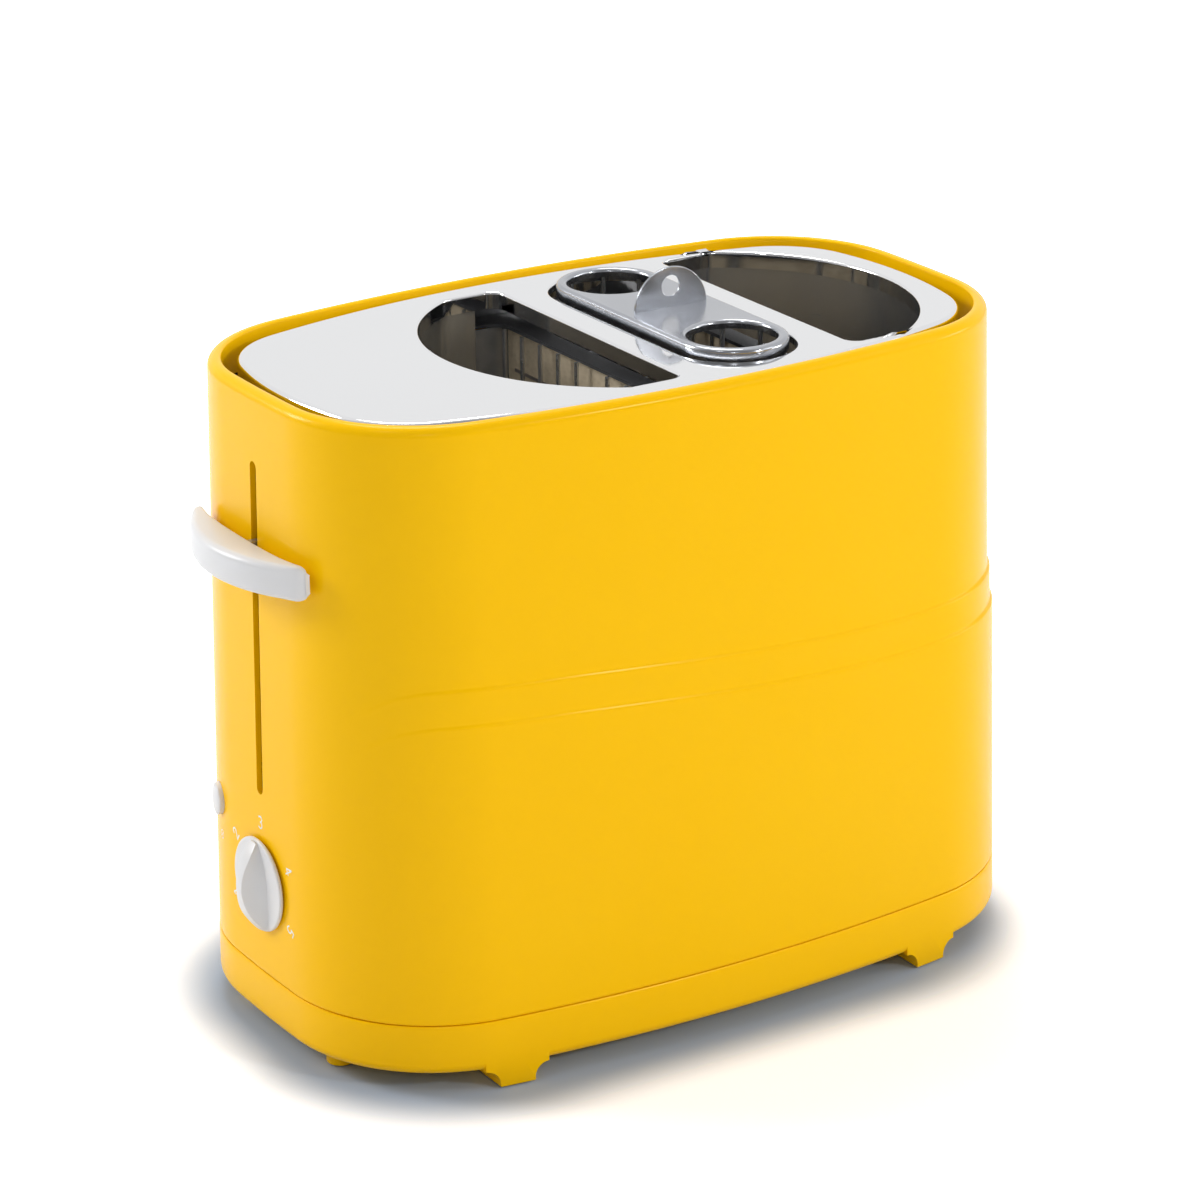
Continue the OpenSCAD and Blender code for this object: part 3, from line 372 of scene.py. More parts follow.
class Wire:
    """A socket that can be used in sums."""

    def __init__(self, kit, socket):
        self.kit, self.socket = kit, socket

    def _math(self, op, a, b):
        return self.kit.node("Math", {0: a, 1: b}, operation=op)

    def __add__(self, other):
        return self._math("ADD", self, other)

    def __sub__(self, other):
        return self._math("SUBTRACT", self, other)

    def __rsub__(self, other):
        return self._math("SUBTRACT", other, self)

    def __mul__(self, other):
        return self._math("MULTIPLY", self, other)

    __radd__, __rmul__ = __add__, __mul__

    def power(self, other):
        return self._math("POWER", self, other)

    def most(self, other):
        return self._math("MAXIMUM", self, other)

    def ramp(self, lo, hi):
        """0 below lo, 1 above hi, smooth between."""
        stops = {0: self, 1: lo, 2: hi, 3: 0.0, 4: 1.0}
        return self.kit.node("MapRange", stops, interpolation_type="SMOOTHSTEP")


class Nodes:
    """Places and links the nodes of a tree. Their kinds share the family's first letters."""

    def __init__(self, tree, family=""):
        self.tree, self.family = tree, family

    def put(self, socket, value):
        """Links a wire to a socket, or writes a value in it."""
        if isinstance(value, Wire):
            self.tree.links.new(value.socket, socket)
        elif isinstance(value, tuple) and len(value) == 3 and socket.type == "RGBA":
            socket.default_value = (*value, 1.0)
        else:
            socket.default_value = value

    def node(self, kind, values=None, out=0, **settings):
        """Adds a node: its settings first, then its sockets. Returns one of its outputs."""
        n = self.tree.nodes.new(self.family + kind)
        for k, v in settings.items():
            setattr(n, k, v)
        for k, v in (values or {}).items():
            self.put(n.inputs[k], v)
        return Wire(self, n.outputs[out])


class Finish(Nodes):
    """The nodes of one material, or of the world."""

    def __init__(self, name, world=None):
        self.owner = world or bpy.data.materials.new(name)
        self.owner.use_nodes = True
        super().__init__(self.owner.node_tree, "ShaderNode")
        self.tree.nodes.clear()
        self.end = self.tree.nodes.new("ShaderNodeOutputWorld" if world else "ShaderNodeOutputMaterial")

    def close(self, surface):
        """Ends the tree in a shader."""
        self.put(self.end.inputs[0], surface)
        return self.owner

    def place(self, scale=(1.0, 1.0, 1.0), turn=(0.0, 0.0, 0.0)):
        """Object coordinates in metres, stretched and turned."""
        values = {"Vector": self.node("TexCoord", out="Object"), "Scale": scale, "Rotation": turn}
        return self.node("Mapping", values)

    def axes(self):
        """x, y and z of the place, in millimetres."""
        v = self.place((1000.0, 1000.0, 1000.0))
        return [self.node("SeparateXYZ", {0: v}, out=i) for i in range(3)]

    def noise(self, scale, detail=3.0, rough=0.5, stretch=(1.0, 1.0, 1.0)):
        return self.node("TexNoise", {"Vector": self.place(stretch), "Scale": scale, "Detail": detail,
                                      "Roughness": rough})

    def flakes(self, scale, stretch=(1.0, 1.0, 1.0)):
        return self.node("TexVoronoi", {"Vector": self.place(stretch), "Scale": scale})

    def mix(self, how_much, a, b):
        """Mix of two colours."""
        return self.node("Mix", {0: how_much, 6: a, 7: b}, out=2, data_type="RGBA")

    def bump(self, height, depth, strength):
        """Bump of a height field, with its depth in metres."""
        return self.node("Bump", {"Height": height, "Distance": depth, "Strength": strength})

    def ray(self, kind):
        """1 for rays of a kind, such as Camera."""
        return self.node("LightPath", out=f"Is {kind} Ray")

    def mirrored(self):
        """1 for rays that a surface reflects or lets through."""
        return self.ray("Glossy").most(self.ray("Transmission"))

    def skin(self, **sockets):
        """The Principled shader, with sockets named by their words."""
        n = self.tree.nodes.new("ShaderNodeBsdfPrincipled")
        by_name = {s.name.lower().replace(" ", "_"): s for s in n.inputs}
        for k, v in sockets.items():
            self.put(by_name[k], v)
        return self.close(Wire(self, n.outputs[0]))


def gloss_yellow():
    """Glossy moulded housing plastic."""
    f = Finish("gloss_yellow")
    drift = f.noise(7.0, 2.0)
    peel = f.noise(420.0, 2.0, 0.45)
    fine = f.noise(2600.0, 1.0)
    tint = f.mix(drift.ramp(0.35, 0.65), (1.0, 0.552, 0.0), (1.0, 0.562, 0.001))
    return f.skin(base_color=tint, roughness=0.19 + fine * 0.05 + drift * 0.02,
                  specular_ior_level=0.15, specular_tint=(1.0, 0.93, 0.6, 1.0),
                  normal=f.bump(peel, 0.00001, 0.35))


def milk_white():
    """White, slightly milky plastic of the knob, dial and button."""
    f = Finish("milk_white")
    drift = f.noise(60.0, 2.0)
    fine = f.noise(1800.0, 2.0)
    tint = f.mix(drift, (0.71, 0.712, 0.72), (0.745, 0.747, 0.755))
    return f.skin(base_color=tint, roughness=0.26 + fine * 0.08, subsurface_weight=0.15,
                  subsurface_radius=(1.0, 1.0, 1.1), subsurface_scale=0.003, specular_ior_level=0.4,
                  normal=f.bump(fine, 0.00001, 0.2))


def mirror_steel():
    """Polished top sheet, with the faint lines that polishing leaves."""
    f = Finish("mirror_steel")
    lines = f.noise(60.0, 3.0, 0.6, stretch=(1.0, 40.0, 1.0))
    cloud = f.noise(9.0, 2.0)
    return f.skin(base_color=f.mix(cloud, (0.735, 0.74, 0.75), (0.76, 0.765, 0.775)), metallic=1.0,
                  roughness=0.035 + lines * 0.03 + cloud * 0.02)


def brushed_steel():
    """Brushed sheet of the bun liners, the bun lifters and the cage's floor."""
    f = Finish("brushed_steel")
    lines = f.noise(90.0, 4.0, 0.65, stretch=(1.0, 1.0, 26.0))
    cloud = f.noise(14.0, 2.0)
    return f.skin(base_color=f.mix(cloud, (0.60, 0.61, 0.63), (0.70, 0.71, 0.72)), metallic=1.0,
                  roughness=0.16 + lines * 0.16, normal=f.bump(lines, 0.00002, 0.25))


def cage_sheet():
    """Satin sheet of the hot dog cage and its tab. Its base is darker than the polished plate's as painted
    shade, for the dim room that the tab mirrors.
    """
    f = Finish("cage_sheet")
    lines = f.noise(70.0, 4.0, 0.6, stretch=(1.0, 20.0, 1.0))
    cloud = f.noise(25.0, 3.0)
    # the low base colour is painted shade: the tab mirrors a dim room in front of it
    return f.skin(base_color=f.mix(cloud, (0.33, 0.345, 0.375), (0.45, 0.46, 0.485)), metallic=1.0,
                  roughness=0.14 + lines * 0.12, normal=f.bump(lines, 0.00001, 0.2))


def zinc_sheet():
    """Dull galvanised sheet of the chassis."""
    f = Finish("zinc_sheet")
    spangle = f.flakes(150.0)
    grime = f.noise(30.0, 4.0)
    return f.skin(base_color=f.mix(spangle * 0.7 + grime * 0.3, (0.36, 0.375, 0.39), (0.55, 0.56, 0.575)),
                  metallic=1.0, roughness=0.34 + grime * 0.2, normal=f.bump(spangle, 0.00003, 0.2))


def wire_steel():
    """Drawn wire, bright on its crests."""
    f = Finish("wire_steel")
    draw = f.noise(300.0, 3.0, 0.6, stretch=(1.0, 1.0, 0.1))
    return f.skin(base_color=f.mix(draw, (0.52, 0.53, 0.55), (0.68, 0.69, 0.70)), metallic=1.0,
                  roughness=0.2 + draw * 0.15)


def black_plastic():
    """Dark moulded plastic of the small housings, and of the frame under the plate, where its darkness is
    painted shade in the gap below the rim.
    """
    f = Finish("black_plastic")
    grain = f.noise(1500.0, 2.0)
    dust = f.noise(24.0, 4.0)
    return f.skin(base_color=f.mix(dust, (0.018, 0.018, 0.02), (0.04, 0.04, 0.042)),
                  roughness=0.45 + grain * 0.15, normal=f.bump(grain, 0.00004, 0.4))


def black_rubber():
    """Rubber of the foot pads and the bush."""
    f = Finish("black_rubber")
    grain = f.noise(900.0, 3.0)
    dust = f.noise(60.0, 4.0)
    return f.skin(base_color=f.mix(dust.ramp(0.4, 0.8), (0.02, 0.02, 0.02), (0.07, 0.068, 0.065)),
                  roughness=0.75 + grain * 0.15, normal=f.bump(grain, 0.00006, 0.5))


def mica_board():
    """Heater board of pressed mica flakes."""
    f = Finish("mica_board")
    flake = f.flakes(420.0, (1.0, 1.0, 1.6))
    cloud = f.noise(22.0, 4.0)
    tint = f.mix(cloud * 0.5 + flake * 0.5, (0.42, 0.33, 0.21), (0.66, 0.56, 0.40))
    return f.skin(base_color=tint, roughness=0.42 + flake * 0.25, coat_weight=0.2, coat_roughness=0.3,
                  normal=f.bump(flake, 0.00004, 0.3))


def heater_alloy():
    """Heater ribbon, tinted by heat."""
    f = Finish("heater_alloy")
    heat = f.noise(40.0, 3.0)
    return f.skin(base_color=f.mix(heat, (0.28, 0.25, 0.24), (0.46, 0.40, 0.36)), metallic=1.0,
                  roughness=0.38 + heat * 0.2)


def coil_copper():
    """Enamelled winding: fine turns across the coil."""
    f = Finish("coil_copper")
    _, _, z = f.axes()
    turns = f.node("Math", {0: z * 9.0}, operation="SINE")
    patina = f.noise(50.0, 3.0)
    return f.skin(base_color=f.mix(patina, (0.42, 0.14, 0.05), (0.60, 0.24, 0.09)), metallic=1.0,
                  roughness=0.3 + patina * 0.15, normal=f.bump(turns, 0.0001, 0.8))


def circuit_green():
    """Solder-masked board, with the ghost of its tracks."""
    f = Finish("circuit_green")
    values = {"Vector": f.place((90.0, 90.0, 90.0), (0.0, 1.5708, 0.0)), "Color1": (0.012, 0.12, 0.05),
              "Color2": (0.01, 0.09, 0.04), "Mortar": (0.05, 0.22, 0.10), "Scale": 1.0, "Mortar Size": 0.04}
    tracks = f.node("TexBrick", values, offset=0.37)
    gloss = f.noise(200.0, 2.0)
    return f.skin(base_color=tracks, roughness=0.25 + gloss * 0.15)


def print_white():
    """Pad-printed scale figures."""
    f = Finish("print_white")
    edge = f.noise(900.0, 3.0)
    return f.skin(base_color=f.mix(edge, (0.84, 0.84, 0.80), (0.93, 0.93, 0.91)), roughness=0.45 + edge * 0.1)


MATERIAL = dict(
    yellow_plastic=gloss_yellow(), white_plastic=milk_white(), bright_steel=mirror_steel(),
    steel=brushed_steel(), zinc_steel=zinc_sheet(), black_plastic=black_plastic(),
    black_rubber=black_rubber(), mica=mica_board(), heater_alloy=heater_alloy(),
    coil_copper=coil_copper(), board_green=circuit_green(), wire=wire_steel(), figures=print_white(),
    cage=cage_sheet())


def finish_piece(ob, body, slot, *nodes, material=None):
    """Material, slot, body and the CAD nodes that the piece stands for."""
    ob.data.materials.clear()
    ob.data.materials.append(MATERIAL[material or slot])
    if nodes:
        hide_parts(*nodes)
    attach(ob, body)
    return ob


# ---------------- housing

# Line of a ledge along the long sides: place from the body's middle, and height from its crest.
LEDGE_LINE = [(-128.0, -11.0), (-124.3, -7.9), (-120.0, -3.8), (-114.7, -1.4), (-107.6, -0.2), (-97.9, 0.0),
              (-82.7, -0.7), (-55.9, -1.8), (-0.6, -5.7), (33.7, -7.9), (61.0, -9.3), (80.0, -9.6),
              (100.0, -8.9), (119.0, -7.8), (136.0, -7.4)]
# Rows of the mesh near a ledge line, and where the ledges fade out at the lever end.
LEDGE_ROWS = [-2.4, -1.6, -1.25, -1.0, -0.75, -0.5, -0.25, 0.0, 0.3, 0.8, 1.6]
LEDGE_START, LEDGE_FADE = -129.0, 6.0


def ledge_relief(d):
    """1 well below a ledge line and 0 above it, with a round shoulder and a hollow foot."""
    return 1.0 - smooth((d + 1.25) / 1.5)


def housing_rows(st):
    """Rows of the outer wall at a station, from the seam up: height, share of the ledges, seam edge."""
    x = st[0] + st[2] * st[3]
    lower, upper = (LEDGE_Z - LEDGE_PITCH * k + along(LEDGE_LINE, x) for k in (1, 0))
    low, top = SEAM_Z + SEAM_GAP, RIM_Z - RIM_R

    def between(a, b, n):
        return [a + (b - a) * i / n for i in range(1, n)]

    zs = ([low, low + 0.35, low + 0.8, low + 2.0] + between(low + 2.0, lower + LEDGE_ROWS[0], 13)
          + [lower + d for d in LEDGE_ROWS] + between(lower + LEDGE_ROWS[-1], upper + LEDGE_ROWS[0], 5)
          + [upper + d for d in LEDGE_ROWS] + between(upper + LEDGE_ROWS[-1], top, 12))
    fade = smooth((x - LEDGE_START) / LEDGE_FADE)
    rows = []
    for z in zs:
        edge = -0.35 * clamp01(1 - (z - low) / 0.8) ** 2
        rows.append((z, fade * (ledge_relief(z - lower) + ledge_relief(z - upper)), edge))
    return rows


def make_housing():
    """Moulded shell: drafted wall with its two ledges, rolled rim, and the cuts in the lever end."""
    sts = stations(BODY)
    rows = []
    for level in zip(*[housing_rows(s) for s in sts]):
        rows.append([(*at(s, lean(z) + LEDGE_STEP * k + edge, LEDGE_STEP * k), z)
                     for s, (z, k, edge) in zip(sts, level)])
    foot = RIM_Z - RIM_DEPTH
    section = (bend(-RIM_R, RIM_Z - RIM_R, RIM_R, 0, 90, 12) + bend(-RIM_T + 1, RIM_Z - 1, 1, 90, 180, 5)
               + [(-RIM_T, foot + 0.5), (-RIM_T + 0.5, foot), (lean(foot) - WALL, foot - 0.3)]
               + [(lean(z) - WALL, z) for z in (190, 150, 100, 60, SEAM_Z + SEAM_GAP)])
    rows += [[(*at(s, o), z) for s in sts] for o, z in section]
    ob = new_mesh("housing", [p for row in rows for p in row], grid_faces(len(rows), len(sts), closed=True))

    # lever slot, and the thinner wall just behind it
    outside, inside, w = -160.0, -120.0 + BODY_X, SLOT_W / 2
    loop = bend(0, SLOT_HIGH - w, w, 0, 180, 12) + bend(0, SLOT_LOW + w, w, 180, 360, 12)
    boolean(ob, stack("slot_cut", [[(x, y, z) for y, z in loop] for x in (outside, inside)]))
    low, high = SLOT_LOW - 4.0, SLOT_HIGH + 4.0
    flat = [(-8.0, low), (8.0, low), (8.0, high), (-8.0, high)]
    deep = [[(wall_x(0.0, z) + THIN_WALL + d, y, z) for y, z in flat] for d in (0.0, 6.0)]
    boolean(ob, stack("thin_cut", deep))
    # holes of the dial's shaft and the button
    for y, z, r in ((0.0, DIAL_Z, 4.8), (BUTTON_Y, BUTTON_Z, BUTTON_R + 0.15)):
        boolean(ob, rod("hole_cut", r, 0, 40, (1, 0, 0), (outside, y, z), 48))
    tidy(ob, 32.0, normals=False)
    finish_piece(ob, "body", "yellow_plastic", "housing")


CORNERS = [(sx, sy) for sx in (-1, 1) for sy in (-1, 1)]
# Base: feet, stubs, vents and openings, most of them from the body's middle.
FOOT_X, FOOT_W, FOOT_IN, FOOT_OUT = 85.3, 12.5, 50.0, 98.0
STUB_X, STUB_Y = -126.5, 29.0
VENTS, VENT_R, VENT_X, VENT_PITCH, VENT_Y, VENT_HALF = 6, 1.25, -111.5, 6.5, 44.0, 10.8
TRAY_CUT = (-70.0, -45.4, 9.8), (170.0, 45.4, 21.4)
BUSH_X, BUSH_Z, BUSH_R = ROD_X + 14.0, 16.0, 4.7
WELL_R, WELL_TOP = 3.6, 11.2


def make_base():
    """Moulded base: a rounded ring, a floor and feet that run out of the wall."""
    out = lean(FOOT_H + EDGE_R)
    top = FOOT_H + EDGE_R
    lap = lean(SEAM_Z) - WALL - 0.3 - 2 * SHIFT
    inner = out - WALL
    section = ([(lean(SEAM_Z) - 0.35, SEAM_Z), (lap, SEAM_Z), (lap, SEAM_Z + 4), (lap - 1.2, SEAM_Z + 4),
                (lap - 1.2, SEAM_Z - 4), (inner - 0.1, SEAM_Z - 4)]
               + bend(inner - 2, 11.5, 2, 0, -90, 5) + [(-9.0, 9.5), (-9.0, FOOT_H)]
               + bend(out - EDGE_R, top, EDGE_R, -90, 0, 10)
               + [(lean(z), z) for z in (14.0, 18.0, 22.0, SEAM_Z - 0.8)]
               + [(lean(SEAM_Z) - 0.1, SEAM_Z - 0.3)])
    ob = ring("base", stations(BODY), [(o + SHIFT, z) for o, z in section], shift=SHIFT)
    sheet = [at(s, -8.0 + SHIFT, SHIFT) for s in stations(BODY, 0.5)]
    boolean(ob, prism("floor", sheet, FOOT_H + 0.02, FOOT_H + WALL - 0.02), "UNION")

    # feet: a profile with hollow fillets, drawn along the body and cut to the wall's outline
    f, w, b = 5.0, FOOT_W / 2, PAD_OUT
    profile = ([(-w - f, top)] + bend(-w - f, FOOT_H - f, f, 90, 0, 10)
               + [(-w, b + 0.5), (-w + 0.15, b + 0.15), (-w + 0.5, b)]
               + [(w - 0.5, b), (w - 0.15, b + 0.15), (w, b + 0.5)]
               + bend(w + f, FOOT_H - f, f, 180, 90, 10) + [(w + f, top)])
    e = out + SHIFT - 0.001
    wall = [(e - 0.5, b - 1.0), (e - 0.5, b), (e - 0.15, b + 0.15), (e, b + 0.5), (e, top)]
    for sx, sy in CORNERS:
        x0 = sx * FOOT_X + BODY_X
        foot = stack("foot", [[(x0 + x, y, z) for x, z in profile] for y in (sy * FOOT_IN, sy * FOOT_OUT)])
        hull = stack("hull", [[(*at(s, o, SHIFT), z) for s in stations(BODY, 0.6)] for o, z in wall])
        boolean(foot, hull, "INTERSECT")
        boolean(ob, foot, "UNION")
    stub = [(0, b), (4.4, b), (4.85, b + 0.15), (5.0, b + 0.6), (5.0, 8.5), (0, 8.5)]
    for sy in (-1, 1):
        boolean(ob, lathe("stub", stub, (0, 0, 1), (STUB_X + BODY_X, sy * STUB_Y, 0.0), 40), "UNION")

    # openings: tray, bush, floor vents, screw wells
    boolean(ob, box_mesh("tray_cut", *TRAY_CUT))
    boolean(ob, rod("bush_cut", BUSH_R, 0, 40, (0, 1, 0), (BUSH_X, 62.0, BUSH_Z), 32))
    for i in range(VENTS):
        x, r = VENT_X + VENT_PITCH * i + BODY_X, VENT_R
        loop = bend(x, VENT_Y + VENT_HALF, r, 0, 180, 6) + bend(x, VENT_Y - VENT_HALF, r, 180, 360, 6)
        boolean(ob, prism("vent_cut", loop, FOOT_H - 1, FOOT_H + WALL + 1))
    for x, y in SCREW_PLACES:
        boolean(ob, rod("well_cut", WELL_R, -1, WELL_TOP, (0, 0, 1), (x, y, 0), 32))
    tidy(ob, 32.0, normals=False)
    finish_piece(ob, "body", "yellow_plastic", "base")


def screw_places():
    """Places of the four screws, inside the corner arcs."""
    (cx, cy), r, _, _ = arcs(BODY)[1]
    k = (r + lean(SEAM_Z) - WALL - 3) * math.sqrt(0.5)
    return [(sx * (cx + k) + BODY_X, sy * (cy + k)) for sx, sy in CORNERS]


SCREW_PLACES = screw_places()


# ---------------- top plate

def flat_with_holes(name, loops, z):
    """Flat skin between an outer loop and holes, sharing the loops' own points."""
    bm = bmesh.new()
    for loop in loops:
        vs = [bm.verts.new((x * MM, y * MM, z * MM)) for x, y in loop]
        for a, b in zip(vs, vs[1:] + vs[:1]):
            bm.edges.new((a, b))
    bmesh.ops.triangle_fill(bm, edges=bm.edges, use_beauty=True, use_dissolve=False)
    return from_bmesh(name, bm)


def pressed_sheet(name, edges, z, thick):
    """Sheet with a bent edge and turned-down holes: stations and a section for each, begun at the flat."""
    parts, loops = [], []
    for sts, section in edges:
        parts.append(ring("skin", sts, section, closed=False))
        loops.append([at(s, section[0][0]) for s in sts])
    parts.append(flat_with_holes("flat", loops, z))
    ob = joined(name, parts, merge=0.002, normals=True)
    # the flat looks up
    flat = max(ob.data.polygons, key=lambda p: p.area)
    if flat.normal.z < 0:
        ob.data.flip_normals()
    return sheeted(ob, thick, 50.0)


def make_top_plate():
    """Polished plate with its edge turned down, two bun slots and the opening of the cage."""
    b = PLATE_BEND
    outer = ([(-b - 0.6, PLATE_Z)] + bend(-b, PLATE_Z - b, b, 90, 0, 10)
             + [(0.0, PLATE_Z - 5), (0.0, FRAME_Z + 0.3)])
    r = 1.0
    turn_in = [(r + 0.5, PLATE_Z)] + bend(r, PLATE_Z - r, r, 90, 180, 6)
    deep = turn_in + [(0.0, PLATE_Z - 3.0), (0.0, PLATE_Z - 6.0)]
    shallow = turn_in + [(0.0, PLATE_Z - 3.0)]
    edges = [(stations(PLATE), outer), (bun_stations(-1), deep), (bun_stations(1), deep),
             (stadium_stations(MID_HALF, MID_R), shallow)]
    ob = even_normals(pressed_sheet("top_plate", edges, PLATE_Z, SHEET))
    finish_piece(ob, "body", "bright_steel", "top_plate")


def make_bun_liner(side, name):
    """Curved reflector, open on its heater side."""
    gap = SHEET + 0.3 + SHEET
    sts = [s for s in bun_stations(side) if (s[0] + s[2] * s[3] - BAY_OFF) * side > BUN_IN + BUN_CORNER + 2]
    # begin and end at the two open edges, where the widest step is
    spots = [at(s, 0.0) for s in sts]
    k = max(range(len(sts)), key=lambda i: math.dist(spots[i], spots[i - 1]))
    sts = sts[k:] + sts[:k]
    low, high = LINER_LOW, PLATE_Z - 1.6
    rows = [low + (high - low) * i / 6 for i in range(7)]
    verts = [(*at(s, gap), z) for z in rows for s in sts]
    ob = new_mesh(name, verts, grid_faces(len(rows), len(sts), around=False), 50.0)
    # the skin's thickness goes towards the bay
    c = ob.data.polygons[len(ob.data.polygons) // 2]
    towards = Vector((BAY * MM + side * 0.04, 0, c.center.z)) - c.center
    if c.normal.dot(towards) > 0:
        ob.data.flip_normals()
    sheeted(ob, SHEET, 50.0)
    if side < 0:
        x = BAY - BUN_OUT
        boolean(ob, box_mesh("arm_slot", (x - 10, -4, 40.0), (x + 10, 4, 166.0)))
        tidy(ob, 50.0, normals=False)
    finish_piece(ob, "body", "steel", name)


# ---------------- hot dog cage

def make_cage_top():
    """Lid of the hot dog cage: a lipped sheet with two rolled holes and a lifting tab."""
    r, q = 1.5, 1.3
    lip = [(-r - 0.5, CAGE_Z)] + bend(-r, CAGE_Z - r, r, 90, 0, 8) + [(0.0, CAGE_Z - CAGE_LIP)]
    roll = [(q + 0.3, CAGE_Z)] + bend(q, CAGE_Z - q, q, 90, 180, 6) + [(0.0, CAGE_Z - 3.0)]
    edges = [(stadium_stations(MID_HALF, CAGE_R), lip)]
    for y in (-MID_HALF, MID_HALF):
        edges.append(([(BAY_OFF, y, DOG_R, ca, sa) for ca, sa in normals(0, 360, 72)[:-1]], roll))
    ob = pressed_sheet("cage_top_sheet", edges, CAGE_Z, SHEET)

    # the tab: a half disc on edge, with a hole
    loop = bend(0, 0, TAB_R, 0, 180, 40)
    tab = flat_with_holes("tab", [loop, circle(0, TAB_HOLE_UP, TAB_HOLE_R, 32)], 0.0)
    place = Matrix.Translation((BAY * MM, TAB_T / 2 * MM, (CAGE_Z - TAB_SINK) * MM))
    tab.data.transform(place @ Matrix.Rotation(math.radians(90), 4, "X"))
    if tab.data.polygons[0].normal.y < 0:
        tab.data.flip_normals()
    sheeted(tab, TAB_T)
    bevel(tab, 0.28, 3)
    ob = even_normals(joined("cage_top", [ob, tab], sharp=50.0))
    finish_piece(ob, "cage", "steel", "cage_top", material="cage")


# ---------------- knob, dial and button

def make_knob():
    """Crescent knob: a bowed front, a flatter back just clear of the wall, and thin tips."""
    height, half, z_mid, tip, n = 12.0, 38.0, 177.5, 3.0, 56
    front, r_front, back = -153.1 + BODY_X, 58.6, -140.2 + BODY_X
    rows = []
    for i in range(n + 1):
        y = half * math.sin(math.pi / 2 * (-1 + 2 * i / n))
        share = clamp01((abs(y) - half + tip) / tip)
        cut = tip * (1 - math.sqrt(1 - share * share))
        x_out = front + r_front - math.sqrt(r_front ** 2 - y * y) + cut * 0.9
        x_in = back + 1.0 * (y / half) ** 2 + 2.8 * (y / half) ** 4 - cut * 0.5
        thick = max(x_in - x_out, 0.5)
        e, e_in, h = min(2.8, thick * 0.45), min(1.4, thick * 0.4), height / 2 - cut
        loop = (bend(x_out + e, h - e, e, 180, 90, 7) + bend(x_in - e_in, h - e_in, e_in, 90, 0, 7)
                + bend(x_in - e_in, -h + e_in, e_in, 0, -90, 7) + bend(x_out + e, -h + e, e, 270, 180, 7))
        rows.append([(x, y, z_mid + z) for x, z in loop])
    ob = bevel(stack("lever_knob", rows, 50.0), 0.4, 2, 50.0, 60.0)
    boolean(ob, box_mesh("arm_pocket", (-147.2 + BODY_X - 0.15, -1.35, 173.35), (-100.0, 1.35, 181.65)))
    tidy(ob, 50.0, normals=False)
    finish_piece(ob, "carriage", "white_plastic", "lever_knob")


def make_dial():
    """Domed dial with a standing grip."""
    r, rim, height = DIAL_R, 1.6, 8.5
    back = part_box("dial")[1][0] / MM
    rise = height - rim
    ball = (r * r + rise * rise) / (2 * rise)

    def turned(name, profile, n=96):
        return lathe(name, profile, (-1, 0, 0), (back, 0, DIAL_Z), n)

    flange = turned("flange", [(0, 0), (r - 0.5, 0), (r, 0.5), (r, 0.9), (r - 0.12, 1.25), (r - 0.45, 1.5),
                               (r - 0.9, rim), (0, rim)])
    reach = [(r - 0.7) * (1 - i / 24) for i in range(25)]
    dome = turned("dome", [(0, rim - 0.5), (r - 0.7, rim - 0.5)]
                  + [(q, height - ball + math.sqrt(ball * ball - q * q)) for q in reach])
    # grip: a fin with sloping sides, drawn to a point at its top end
    rows = []
    for up, foot in ((-r - 1, 7.4), (-12.0, 7.6), (-6.0, 7.8), (0.0, 7.8), (4.0, 7.3), (8.0, 6.2),
                     (11.0, 4.9), (13.5, 3.5), (15.5, 2.2), (r + 1, 1.6)):
        crest = min(1.6, foot * 0.45)
        side = []
        for k in range(13):
            share = min(k / 12 / 0.86, 1.0)
            side.append((foot - (foot - crest) * share ** 0.9, rim - 0.4 + (rise + 2.0) * k / 12))
        both = [(-w, a) for w, a in side] + side[::-1]
        rows.append([(back - a, w, DIAL_Z + up) for w, a in both])
    boolean(dome, stack("bar", rows), "INTERSECT")
    ob = bevel(tidy(dome, 30.0, merge=0.004), 0.5, 3, 40.0)
    boolean(ob, flange, "UNION")
    boolean(ob, turned("bore", [(0, -1), (DIAL_BORE, -1), (DIAL_BORE, 5.5), (0, 5.5)], 40))
    even_normals(tidy(ob, 35.0, normals=False))
    finish_piece(ob, "dial", "white_plastic", "dial")


def make_button():
    """Low round button whose crown follows the corner of the wall."""
    n, out, top = 56, 1.5, 1.0
    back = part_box("cancel_button")[1][0] / MM
    inside = back - 1.3
    # crown: share of the radius and height above the button's edge
    crown = ((0.35, 0.98), (0.6, 0.86), (0.8, 0.62), (0.92, 0.34), (0.98, 0.1), (1.0, -0.25))
    rows = [[(wall_x(y, z) - out - rise, y, z) for y, z in circle(BUTTON_Y, BUTTON_Z, q * BUTTON_R, n)]
            for q, rise in crown]
    flange, lip = BUTTON_R + 0.5, inside + 0.9
    for x, r in ((inside, BUTTON_R), (inside, flange), (lip, flange), (lip, 2.0), (back, 2.0)):
        rows.append([(x, y, z) for y, z in circle(BUTTON_Y, BUTTON_Z, r, n)])
    verts = [p for row in rows for p in row] + [(wall_x(BUTTON_Y, BUTTON_Z) - out - top, BUTTON_Y, BUTTON_Z)]
    faces = grid_faces(len(rows), n) + [tuple(range((len(rows) - 1) * n, len(rows) * n))]
    faces += [(len(verts) - 1, (i + 1) % n, i) for i in range(n)]
    ob = new_mesh("cancel_button", verts, faces, 50.0)
    finish_piece(ob, "button", "white_plastic", "cancel_button")


# ---------------- geometry nodes for what repeats

